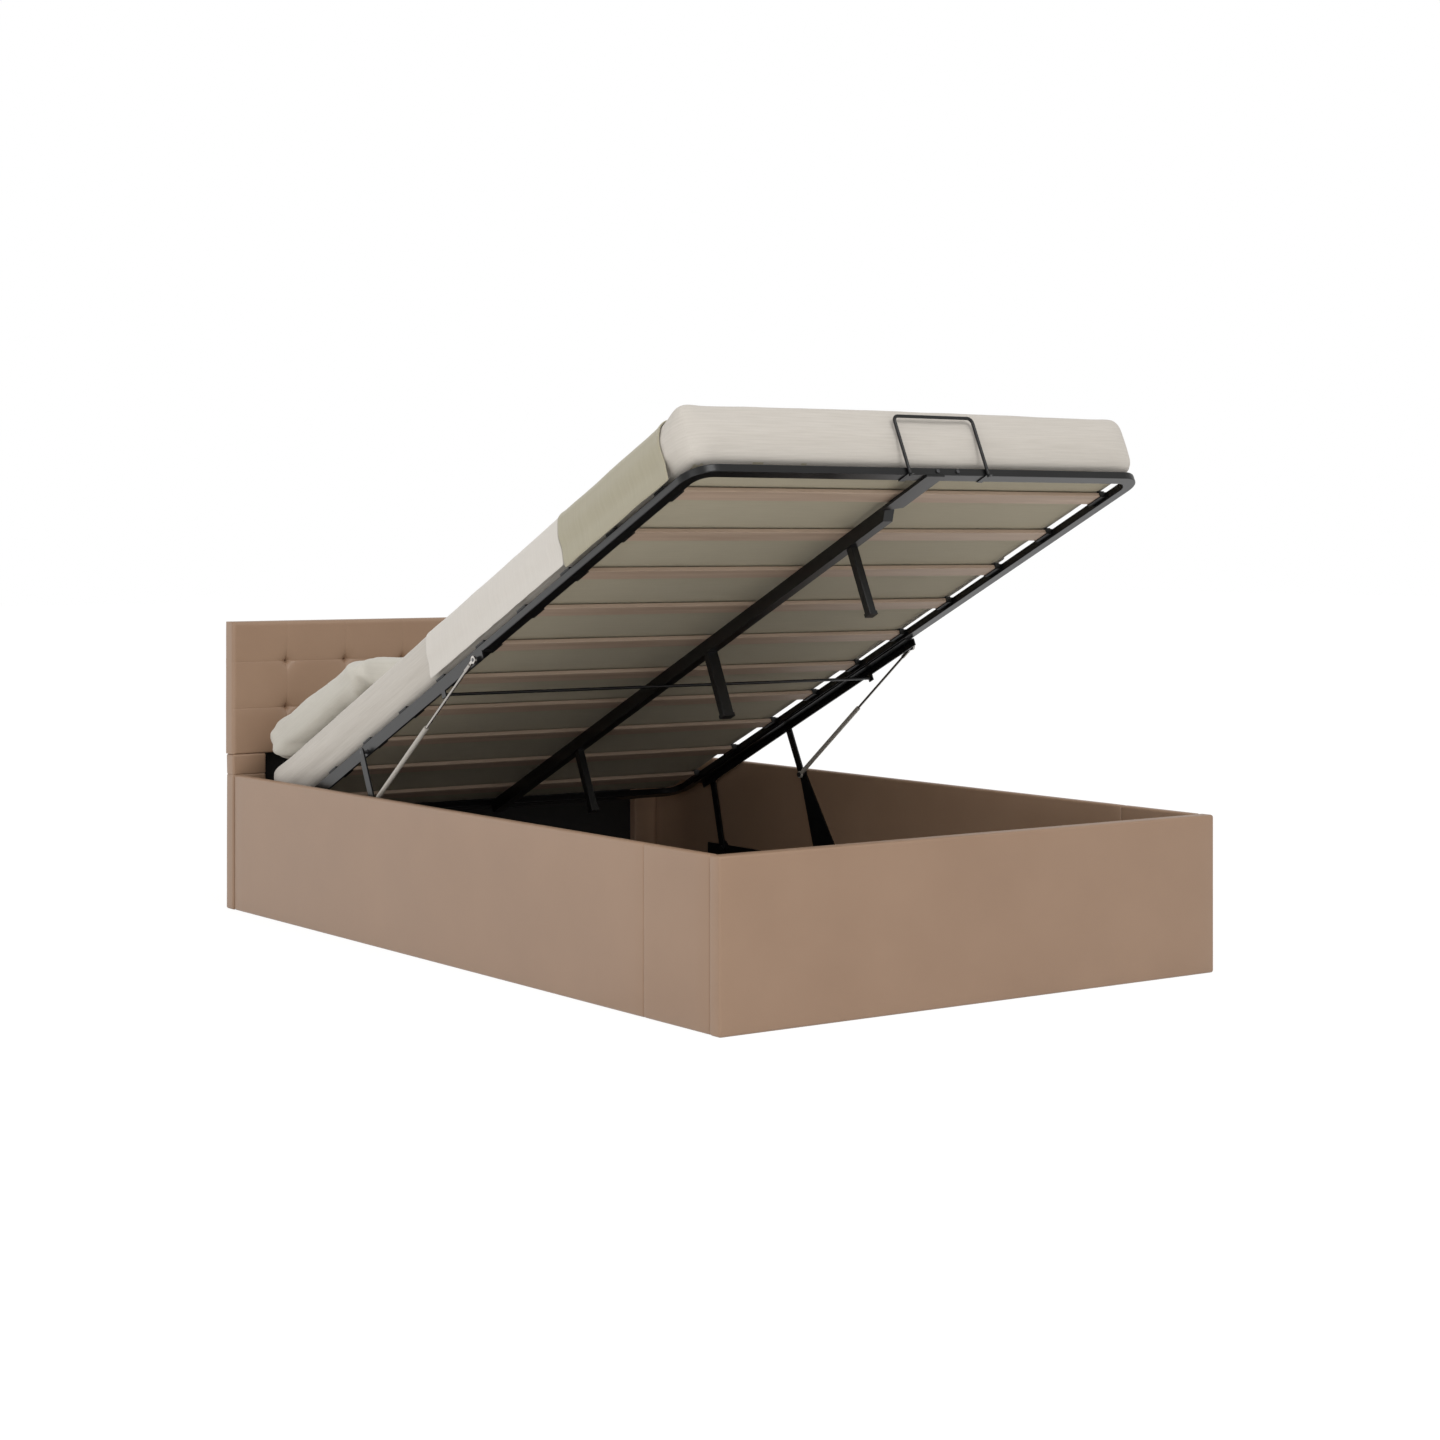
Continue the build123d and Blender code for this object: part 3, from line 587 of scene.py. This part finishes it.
# %% Headboard pad's front
bpy.ops.mesh.primitive_grid_add(
    x_subdivisions=len(grid_x) - 1, y_subdivisions=len(grid_z) - 1, size=1
)
pad = bpy.context.object
pad.name = "headboard_tufted_pad"
even = np.round(read_array(pad, "co"), 6)
px = grid_x[np.searchsorted(np.unique(even[:, 0]), even[:, 0])]
pz = grid_z[np.searchsorted(np.unique(even[:, 1]), even[:, 1])]
print("the pad's front has", len(px), "points")

# %% [markdown]
# Now each point is pressed in by what its distances say. Near the rim it follows a quarter
# circle. A seam is a narrow stitch line in a shallow valley, and it cuts deeper close to a
# tuft, where the thread pulls. A tuft is a deep small pit in a wide hollow.

# %% Press in the rim, seams and tufts
rim_radius, bottom_radius = 9 * mm, 3 * mm
pull_reach, pit_reach = 0.014, 0.0075
press = np.zeros(len(px))
rims = (
    (px - pad_low[0], rim_radius),
    (pad_high[0] - px, rim_radius),
    (pz - pad_low[2], bottom_radius),
    (pad_high[2] - pz, rim_radius),
)
for distance, radius in rims:
    inward = np.clip(radius - distance, 0, radius)
    press = np.maximum(press, radius - np.sqrt(np.maximum(radius**2 - inward**2, 0)))
line_x = np.min([np.abs(px - x) for x in tuft_xs], axis=0)
line_z = np.min([np.abs(pz - z) for z in tuft_zs], axis=0)
to_tuft = np.hypot(line_x, line_z)
for line in (line_x, line_z):
    press += hump(line, 0.4 * mm, 1.2 * mm) + hump(line, 0.4 * mm, 8 * mm)
    press += np.exp(-to_tuft / pull_reach) * hump(line, 3.4 * mm, 3.6 * mm)
press += 8.5 * mm * np.exp(-((to_tuft / pit_reach) ** 1.3)) + hump(to_tuft, 3.4 * mm, 22 * mm)
press += 0.6 * mm * (1 + noise_at(px * 9, 0.3, pz * 9)) * np.clip((pad_high[2] - pz) / 0.03, 0, 1)
head_thickness = 0.040
head_front = half_length - head_thickness
set_points(pad, np.column_stack([px, head_front + press, pz]))
print("pressed in by up to", round(float(press.max() / mm), 1), "mm")

# %% [markdown]
# The front is a sheet with an open border. Its border edges are selected, extruded back to the
# pad's depth, drawn together a little for a soft back edge, and closed with one face.

# %% Headboard pad's sides and back
select_only(pad)
bpy.ops.object.mode_set(mode="EDIT")
bpy.ops.mesh.select_all(action="DESELECT")
bpy.ops.mesh.select_mode(type="EDGE")
bpy.ops.mesh.select_non_manifold()
for depth in (half_length - 4 * mm - head_front - rim_radius, 3 * mm):
    bpy.ops.mesh.extrude_region_move(TRANSFORM_OT_translate={"value": (0, depth, 0)})
bpy.ops.mesh.extrude_region_move()
bpy.ops.transform.resize(value=(0.999, 0, 0.996))
bpy.ops.mesh.edge_face_add()
bpy.ops.mesh.select_all(action="SELECT")
bpy.ops.mesh.normals_make_consistent(inside=False)
bpy.ops.object.mode_set(mode="OBJECT")
places = read_array(pad, "co")
places[:, 1] = np.minimum(places[:, 1], half_length)
set_points(pad, places)
finish_piece(pad, leather, "bed_box", "upholstery", "headboard_pad", angle=60)

# %% [markdown]
# Stuffed things get their shape from pressure against a skin, and a short cloth simulation
# does just that. The closed piece becomes an even net, air pressure blows it up with gravity
# off, and the movement is capped so that the piece can't leave the space it has.


# %% Cloth simulation
def apply_modifiers(piece):
    """Applies every modifier in order."""
    select_only(piece)
    for modifier in list(piece.modifiers):
        bpy.ops.object.modifier_apply(modifier=modifier.name)


def add_net(piece, voxel):
    """Rebuilds a closed piece as an even net of small squares."""
    net = piece.modifiers.new("net", "REMESH")
    net.mode = "VOXEL"
    net.voxel_size = voxel
    apply_modifiers(piece)


def inflate(piece, voxel, pressure, frames, cap, stiffness):
    """Blows a closed piece up as cloth, and caps how far a point may move."""
    add_net(piece, voxel)
    before = read_array(piece, "co")
    cloth = piece.modifiers.new("skin", "CLOTH")
    settings = cloth.settings
    settings.quality = 5
    settings.mass = 0.3
    settings.tension_stiffness = stiffness
    settings.compression_stiffness = stiffness
    settings.bending_stiffness = 0.5
    settings.use_pressure = True
    settings.uniform_pressure_force = pressure
    settings.effector_weights.gravity = 0
    cloth.point_cache.frame_start = 1
    cloth.point_cache.frame_end = frames
    for step in range(1, frames + 1):
        bpy.context.scene.frame_set(step)
    bpy.ops.object.modifier_apply(modifier=cloth.name)
    bpy.context.scene.frame_set(1)
    move = read_array(piece, "co") - before
    far = np.linalg.norm(move, axis=1)
    set_points(piece, before + move * np.minimum(1, cap / np.maximum(far, 1e-9))[:, None])
    print(piece.name, "moved up to", round(float(far.max() / mm), 1), "mm")


print("cloth simulation is", "on")

# %% [markdown]
# Two more helpers serve the stuffed pieces. A bevel of several segments turns a block's hard
# corners soft, on the edges that a test accepts. Fairing comes after the simulation: it evens
# out the net and divides each of its squares in four, so that no square shows.


# %% Rounding and fairing
def round_edges(piece, choose, width, segments):
    """Bevels the edges whose two end points choose() accepts."""
    select_only(piece)
    bpy.ops.object.mode_set(mode="EDIT")
    bpy.ops.mesh.select_mode(type="EDGE")
    bpy.ops.mesh.select_all(action="DESELECT")
    bpy.ops.object.mode_set(mode="OBJECT")
    corners = piece.data.vertices
    for edge in piece.data.edges:
        edge.select = bool(choose(*(corners[i].co for i in edge.vertices)))
    bpy.ops.object.mode_set(mode="EDIT")
    bpy.ops.mesh.bevel(offset=width, segments=segments, profile=0.5, affect="EDGES")
    bpy.ops.object.mode_set(mode="OBJECT")


def fair(piece, rounds):
    """Evens out a net, then divides each of its squares in four."""
    smooth = piece.modifiers.new("fair", "SMOOTH")
    smooth.iterations = rounds
    finer = piece.modifiers.new("finer", "SUBSURF")
    finer.levels = finer.render_levels = 1
    apply_modifiers(piece)


# %% [markdown]
# The mattress is one foam block in a linen-look ticking. Foam keeps its corners soft. It
# starts as a block a little smaller than the real one, its upright edges are rounded widely
# and the rims less, and the simulation lets the skin find its own swell.

# %% Mattress block
mattress_half = 0.588
mattress_low, mattress_high = 0.0052, 0.1288
mattress_foot, mattress_head = 0.001, 1.951
inset = 3 * mm
mattress = add_block(
    "mattress_ticking",
    (
        2 * (mattress_half - inset),
        mattress_head - mattress_foot - 2 * inset,
        mattress_high - mattress_low - 2 * inset,
    ),
    (0, (mattress_foot + mattress_head) / 2, (mattress_low + mattress_high) / 2),
)
top, bottom = mattress_high - inset, mattress_low + inset
round_edges(mattress, lambda a, b: abs(a.z - b.z) > 0.05, 26 * mm, 6)
round_edges(mattress, lambda a, b: min(a.z, b.z) > top - 1e-5, 20 * mm, 6)
round_edges(mattress, lambda a, b: max(a.z, b.z) < bottom + 1e-5, 18 * mm, 5)
add_net(mattress, 11 * mm)
inflate(mattress, voxel=13 * mm, pressure=1.5, frames=12, cap=4 * mm, stiffness=15.0)
fair(mattress, 1)
print("the mattress has", len(mattress.data.vertices), "points")

# %% [markdown]
# The simulation changes the size by a few millimetres, so the block is fitted back to its
# box. Then it gets what long use gives a mattress: a slight crown across the top, an end that
# stands higher where nobody lies, and a hardly visible unevenness all over.

# %% Mattress shape
foot_rise, crown_height = 17 * mm, 4 * mm
places = read_array(mattress, "co")
wanted = (
    (-mattress_half, mattress_half),
    (mattress_foot, mattress_head),
    (mattress_low, mattress_high),
)
for axis, (start, end) in enumerate(wanted):
    first, last = places[:, axis].min(), places[:, axis].max()
    places[:, axis] = start + (places[:, axis] - first) * (end - start) / (last - first)
height_share = (places[:, 2] - mattress_low) / (mattress_high - mattress_low)
places[:, 2] += height_share * hump(places[:, 1], foot_rise, 50 * mm)
places[:, 2] += crown_height * height_share**2 * (1 - (places[:, 0] / mattress_half) ** 2)
broad, fine = (noise_at(*(places * rate).T) for rate in ((7, 7, 16), (26, 26, 40)))
places += read_array(mattress, "normal") * (1.2 * mm * broad + 0.4 * mm * fine)[:, None]
places[:, 2] = np.maximum(places[:, 2], mattress_low)
set_points(mattress, places)
print("mattress box", places.min(0), places.max(0))

# %% [markdown]
# The deck lies at 24.9 degrees. Everything on it is modelled flat, as on a workbench, with X
# across the bed, Y along the rails from the foot bar, and Z square to the slats. One helper
# then tips the finished piece onto the deck, and writes the move into its mesh.

# %% Deck placing
deck_tilt = math.radians(24.9)
deck_foot = (0.0, -0.892, 1.0487)


def tip_onto_deck(piece):
    """Turns a piece modelled flat to the open deck's slope."""
    piece.rotation_euler = (-deck_tilt, 0, 0)
    piece.location = deck_foot
    apply_place(piece)


print("the deck's foot bar is at", deck_foot)

# %% [markdown]
# The weave needs a UV map in metres. On the mattress, a box projection does it: each face takes
# the two axes that it lies along, so threads run level round the sides and along the top. The
# underside gets a second material, the rougher cloth that keeps a mattress from sliding.


# %% Mattress weave
def lay_out_weave(piece):
    """UV map 'cloth' in metres from each face's main direction."""
    layer = piece.data.uv_layers.get("cloth") or piece.data.uv_layers.new(name="cloth")
    piece.data.uv_layers.active = layer
    for face in piece.data.polygons:
        axis = max(range(3), key=lambda i: abs(face.normal[i]))
        u, v = ((1, 2), (0, 2), (0, 1))[axis]
        for loop in face.loop_indices:
            p = piece.data.vertices[piece.data.loops[loop].vertex_index].co
            layer.data[loop].uv = (p[u], p[v])


lay_out_weave(mattress)
under = [face.index for face in mattress.data.polygons if face.normal.z < -0.92]
tip_onto_deck(mattress)
finish_piece(mattress, ticking, "lift_deck", "mattress_fabric", "mattress", angle=180)
mattress.data.materials.append(base_cloth)
for index in under:
    mattress.data.polygons[index].material_index = 1

# %% [markdown]
# The bed cover and the throw lie across the mattress and hang down both sides. A full drape
# simulation would slide about from run to run, so the path across is drawn first: up one side
# from the hem, round the edge, over the crown and down the other side.


# %% Path across the mattress
def path_across(grow, hems):
    """Places (x, n) across the mattress from the left hem over the top to the right hem."""
    half, roof = mattress_half + grow, mattress_high + grow
    radius, side_steps, bend_steps, top_steps = 0.022, 9, 8, 90
    flanks = []
    for hem in hems:
        rise = roof - radius - hem
        run = [(-half, hem + rise * i / side_steps) for i in range(side_steps)]
        for i in range(bend_steps + 1):
            a = math.pi / 2 * i / bend_steps
            run.append((radius * (1 - math.cos(a)) - half, roof - radius * (1 - math.sin(a))))
        flanks.append(run)
    crown = []
    for i in range(1, top_steps):
        x = -half + radius + (half - radius) * 2 * i / top_steps
        crown.append((x, roof + crown_height * (1 - (x / half) ** 2)))
    return np.array(flanks[0] + crown + [(-x, n) for x, n in reversed(flanks[1])])


print("the path has", len(path_across(0, (0, 0))), "places")

# %% [markdown]
# A rectangle of cloth is a grid. It is bent along that path, wrapped onto the mattress itself,
# and then gets shallow folds that run down its sides. A hem is cloth turned over and sewn
# down, so the sheet is nearly twice as thick along its rim. Close to the slats it hangs free.

# %% Cloth across the mattress
row_step, hem_width, flat_width = 9 * mm, 12 * mm, 30 * mm
free_below, fade = 0.025, 0.03


def cloth_strip(name, start, end, grow, hems, thick, folds, seed):
    """A sheet across the mattress from start to end along the deck. Returns it and its width."""
    run = path_across(grow, hems)
    lengths = np.concatenate([[0], np.cumsum(np.hypot(*np.diff(run, axis=0).T))])
    rows = max(30, int((end - start) / row_step))
    bpy.ops.mesh.primitive_grid_add(x_subdivisions=len(run) - 1, y_subdivisions=rows, size=1)
    piece = bpy.context.object
    piece.name = name
    spots = read_array(piece, "co")
    across = np.round((spots[:, 0] + 0.5) * (len(run) - 1)).astype(int)
    along_share = spots[:, 1] + 0.5
    s = start + (end - start) * along_share
    x, n = run[across].T
    way = lengths[across]

    side = np.clip((mattress_high - n) / (mattress_high - min(hems)), 0, 1)
    pleat = noise_at(seed, s * 22.0, 1.7 + 0.4 * np.sign(x))
    wave = noise_at(way * 4.0 + seed, s * 9.0, 0.5 * seed)
    rim = np.minimum(along_share, 1 - along_share) * (end - start)
    hem_rim = np.minimum(way, lengths[-1] - way)
    lift = folds * (0.5 + 0.5 * wave) + folds * 1.2 * side * np.clip(pleat, 0, 1)
    lift *= 1 - hump(rim, 1, flat_width)
    set_points(piece, np.column_stack([x, s, n + 1 * mm * side**2 * pleat]))

    touching = piece.vertex_groups.new(name="touching")
    hem = piece.vertex_groups.new(name="hem")
    on_mattress = np.clip((n - free_below) / fade, 0, 1)
    near_rim = hump(np.minimum(rim, hem_rim), 1, hem_width)
    for index in range(len(n)):
        touching.add([index], float(on_mattress[index]), "REPLACE")
        hem.add([index], float(near_rim[index]), "REPLACE")
    tip_onto_deck(piece)
    wrap = piece.modifiers.new("lie on the mattress", "SHRINKWRAP")
    wrap.target = mattress
    wrap.wrap_mode = "ABOVE_SURFACE"
    wrap.offset = grow + 0.6 * mm
    wrap.vertex_group = "touching"
    apply_modifiers(piece)
    set_points(piece, read_array(piece, "co") + read_array(piece, "normal") * lift[:, None])

    piece.data.uv_layers["UVMap"].name = "cloth"
    layer = piece.data.uv_layers["cloth"]
    for loop in piece.data.loops:
        layer.data[loop.index].uv = (way[loop.vertex_index], s[loop.vertex_index])
    thicken = piece.modifiers.new("thickness", "SOLIDIFY")
    thicken.thickness = thick
    thicken.offset = 1
    thicken.vertex_group = "hem"
    thicken.thickness_vertex_group = 0.55
    finer = piece.modifiers.new("finer", "SUBSURF")
    finer.levels = finer.render_levels = 1
    apply_modifiers(piece)
    return piece, float(lengths[-1])


print("hems", round(hem_width / mm), "mm wide")

# %% [markdown]
# The cover is thin smooth cotton, so its folds are shallow. The throw is thick wool: stiffer,
# with deeper folds, and its right hem hangs a little shorter than its left.

# %% Bed cover and throw
bed_cover, cover_width = cloth_strip(
    "bed_cover_cloth",
    start=0.487,
    end=1.090,
    grow=0.6 * mm,
    hems=(0.012, 0.020),
    thick=1.6 * mm,
    folds=0.6 * mm,
    seed=3.0,
)
finish_piece(bed_cover, cover_cotton, "lift_deck", "cover_fabric", "bed_cover", angle=180)
throw, throw_width = cloth_strip(
    "throw_cloth",
    start=0.078,
    end=0.484,
    grow=0.8 * mm,
    hems=(0.002, 0.024),
    thick=4.2 * mm,
    folds=1.2 * mm,
    seed=8.0,
)
finish_piece(throw, throw_wool, "lift_deck", "throw_fabric", "throw_blanket", angle=180)

# %% [markdown]
# A pillow is two squares of cotton sewn together round a soft filling. Blown up from a thin
# flat bag, the cloth has too much width near its corners and puckers there, as a real one
# does.

# %% Pillow bag
pillow_width, pillow_length = 0.740, 0.500
pillow = add_block("pillow_cotton", (pillow_width * 1.03, pillow_length * 1.05, 0.034), (0, 0, 0))
round_edges(pillow, lambda a, b: abs(a.z - b.z) > 0.02, 40 * mm, 6)
inflate(pillow, voxel=9 * mm, pressure=6.0, frames=26, cap=60 * mm, stiffness=8.0)
print("the pillow's bag has", len(pillow.data.vertices), "points")

# %% [markdown]
# The blown bag waists in between its corners more than a filled pillow does. Its outline is
# measured in strips along both directions and pushed out where it falls short, so u and v, the
# shares of half the width and length, reach nearly 1 all round.

# %% Pillow outline
places = read_array(pillow, "co")
span = places.max(0) - places.min(0)
places -= (places.max(0) + places.min(0)) / 2
places[:, 0] *= pillow_width / span[0]
places[:, 1] *= pillow_length / span[1]
places[:, 2] /= span[2]
u, v = places[:, 0] / (pillow_width / 2), places[:, 1] / (pillow_length / 2)
strips = 24
wanted_reach, most_push = 0.985, 1.3
for a, b in ((u, v), (v, u)):
    bins = np.clip(((b + 1) * strips / 2).astype(int), 0, strips - 1)
    widest = [np.abs(a[bins == i]).max() if (bins == i).any() else 1.0 for i in range(strips)]
    reach = np.interp(b, (np.arange(strips) + 0.5) / (strips / 2) - 1, widest)
    a *= 1 + (np.clip(wanted_reach / reach, 1, most_push) - 1) * np.abs(a / reach) ** 2
u, v = np.clip(u, -1, 1), np.clip(v, -1, 1)
print("widest strip", round(float(max(widest)), 3), "narrowest", round(float(min(widest)), 3))

# %% [markdown]
# Set down, a pillow is flat and squarish below and round above. The blown form is blended with
# a full one, the corners get their fan of puckers, broad noise makes it uneven, and the head
# end is left thicker, where the filling has slid down. What would sink in is pressed flat.

# %% Pillow form
pillow_middle = (-0.214, 1.678)
pillow_rest, pillow_top = 0.1300, 0.2470
thick = pillow_top - pillow_rest
fullness = 0.72
# +1 above, -1 below, and smooth across the seam
side_sign = np.tanh(places[:, 2] * 14)
squared = np.where(side_sign < 0, 0.16, 0.24)
full = (1 - np.abs(u) ** 7) ** squared * (1 - np.abs(v) ** 7) ** squared
height = (1 - fullness) * places[:, 2] * thick + fullness * side_sign * full * thick / 2
# 1 in the very corner, and the angle round a point just outside it
corner = np.clip((np.abs(u) - 0.55) / 0.45, 0, 1) * np.clip((np.abs(v) - 0.35) / 0.65, 0, 1)
angle = np.arctan2(np.abs(v) - 1.1, np.abs(u) - 1.1)
puckers_per_turn = 13
height += side_sign * 10 * mm * corner * np.sin(angle * puckers_per_turn + 3 * u)
swell = noise_at(u * 2.1, v * 1.7, 0.4)
crease = noise_at(u * 5.0 + v * 3.0, v * 2.0 - u, 2.2)
height += side_sign * (6 * mm * swell - hump(crease, 3 * mm, 0.1)) * full
height += np.clip(side_sign, 0, 1) * 10 * mm * v
height = np.maximum(height + pillow_top - height.max(), pillow_rest)
across = u * pillow_width / 2 + pillow_middle[0]
along = v * pillow_length / 2 + pillow_middle[1]
set_points(pillow, np.column_stack([across, along, height]))
print("pillow", round(float((height.max() - height.min()) / mm)), "mm thick")

# %% [markdown]
# Last come the fine folds of the cotton: narrow valleys where smooth noise crosses zero. They
# are deepest near the corners and fade out where the pillow rests on the mattress.

# %% Pillow folds
fair(pillow, 2)
places = read_array(pillow, "co")
pillow_centre = np.array([*pillow_middle, (pillow_rest + pillow_top) / 2])
x, y, z = (places - pillow_centre).T
near_corner = np.clip(np.abs(x) / (pillow_width / 2), 0, 1) ** 4
near_corner *= np.clip(np.abs(y) / (pillow_length / 2), 0, 1) ** 2
valley = hump(noise_at(x * 5 + z * 9, y * 4 - z * 6, z * 3), 1, 0.16)
free = np.clip((places[:, 2] - pillow_rest) / 0.02, 0, 1)
press_in = (1.6 * mm + 6 * mm * near_corner) * valley * free
set_points(pillow, places - read_array(pillow, "normal") * press_in[:, None])
lay_out_weave(pillow)
tip_onto_deck(pillow)
finish_piece(pillow, pillow_cotton, "lift_deck", "pillow_fabric", "pillow", angle=180)

# %% [markdown]
# The studio floor is matte white. To the camera, and in reflections, it glows nearly white by
# itself, so that it needs no strong light. A fifth of it is still lit, so the bed keeps its
# soft shadow. Light Path says which kind of ray is looking.

# %% Studio floor
bpy.ops.mesh.primitive_plane_add(size=60)
floor = bpy.context.object
floor.name = "studio_floor"
floor_paint, tree, shader = new_material(
    "matte_white_floor", "#F2F1EF", 0.9, Specular_IOR_Level=0.1
)
ray = add_node(tree, "ShaderNodeLightPath")
direct = ray.outputs["Is Camera Ray"]
for kind in ("Is Glossy Ray", "Is Transmission Ray"):
    either = add_node(
        tree, "ShaderNodeMath", {"operation": "MAXIMUM"}, i0=direct, i1=ray.outputs[kind]
    )
    direct = either.outputs[0]
share = add_node(tree, "ShaderNodeMath", {"operation": "MULTIPLY"}, {1: 0.8}, i0=direct)
glow = add_node(tree, "ShaderNodeEmission", None, {"Color": (1, 1, 1, 1), "Strength": 1.12})
mix = add_node(
    tree,
    "ShaderNodeMixShader",
    i0=share.outputs[0],
    i1=shader.outputs[0],
    i2=glow.outputs[0],
)
tree.links.new(mix.outputs[0], tree.nodes["Material Output"].inputs["Surface"])
floor.data.materials.append(floor_paint)
print(floor.name, "60 m wide")

# %% [markdown]
# The world is a pale even sky that fills every shadow softly. The camera sees plain white
# behind the bed instead of that sky, again by Light Path.

# %% Studio world
world = bpy.data.worlds.new("studio_light")
bpy.context.scene.world = world
world.use_nodes = True
tree = world.node_tree
sky = tree.nodes["Background"]
sky.inputs["Color"].default_value = (1, 0.99, 0.975, 1)
sky.inputs["Strength"].default_value = 0.67
ray = add_node(tree, "ShaderNodeLightPath")
direct = add_node(
    tree,
    "ShaderNodeMath",
    {"operation": "MAXIMUM"},
    i0=ray.outputs["Is Camera Ray"],
    i1=ray.outputs["Is Transmission Ray"],
)
white = add_node(tree, "ShaderNodeBackground", None, {"Color": (1, 1, 1, 1), "Strength": 1.0})
mix = add_node(
    tree, "ShaderNodeMixShader", i0=direct.outputs[0], i1=sky.outputs[0], i2=white.outputs[0]
)
tree.links.new(mix.outputs[0], tree.nodes["World Output"].inputs["Surface"])
bpy.context.scene.view_settings.view_transform = "Standard"
print("sky strength", round(sky.inputs["Strength"].default_value, 2))

# %% [markdown]
# Three large lamps shape the bed. One on the left lights the long side, a weak one behind
# keeps that side even up to the headboard, and a high one in front lights the foot panel and
# the end of the mattress. Being 3 m wide, they leave no hard shadow.


# %% Studio lamps
def soft_lamp(name, place, target, size, watts):
    """A large square lamp aimed at a point."""
    data = bpy.data.lights.new(name, "AREA")
    data.size = size
    data.energy = watts
    lamp = bpy.data.objects.new(name, data)
    lamp.location = place
    lamp.rotation_euler = (Vector(target) - Vector(place)).to_track_quat("-Z", "Y").to_euler()
    bpy.context.collection.objects.link(lamp)


soft_lamp("left_lamp", (-4.8, -2.2, 2.0), (-0.3, 0.2, 0.5), 3.0, 42.0)
soft_lamp("left_rear_lamp", (-4.2, 5.2, 1.4), (-0.6, 0, 0.6), 3.0, 24.0)
soft_lamp("front_lamp", (-0.6, -5.0, 5.2), (0, 0.2, 0.7), 3.0, 118.0)
print("lamps", len(bpy.data.lights))
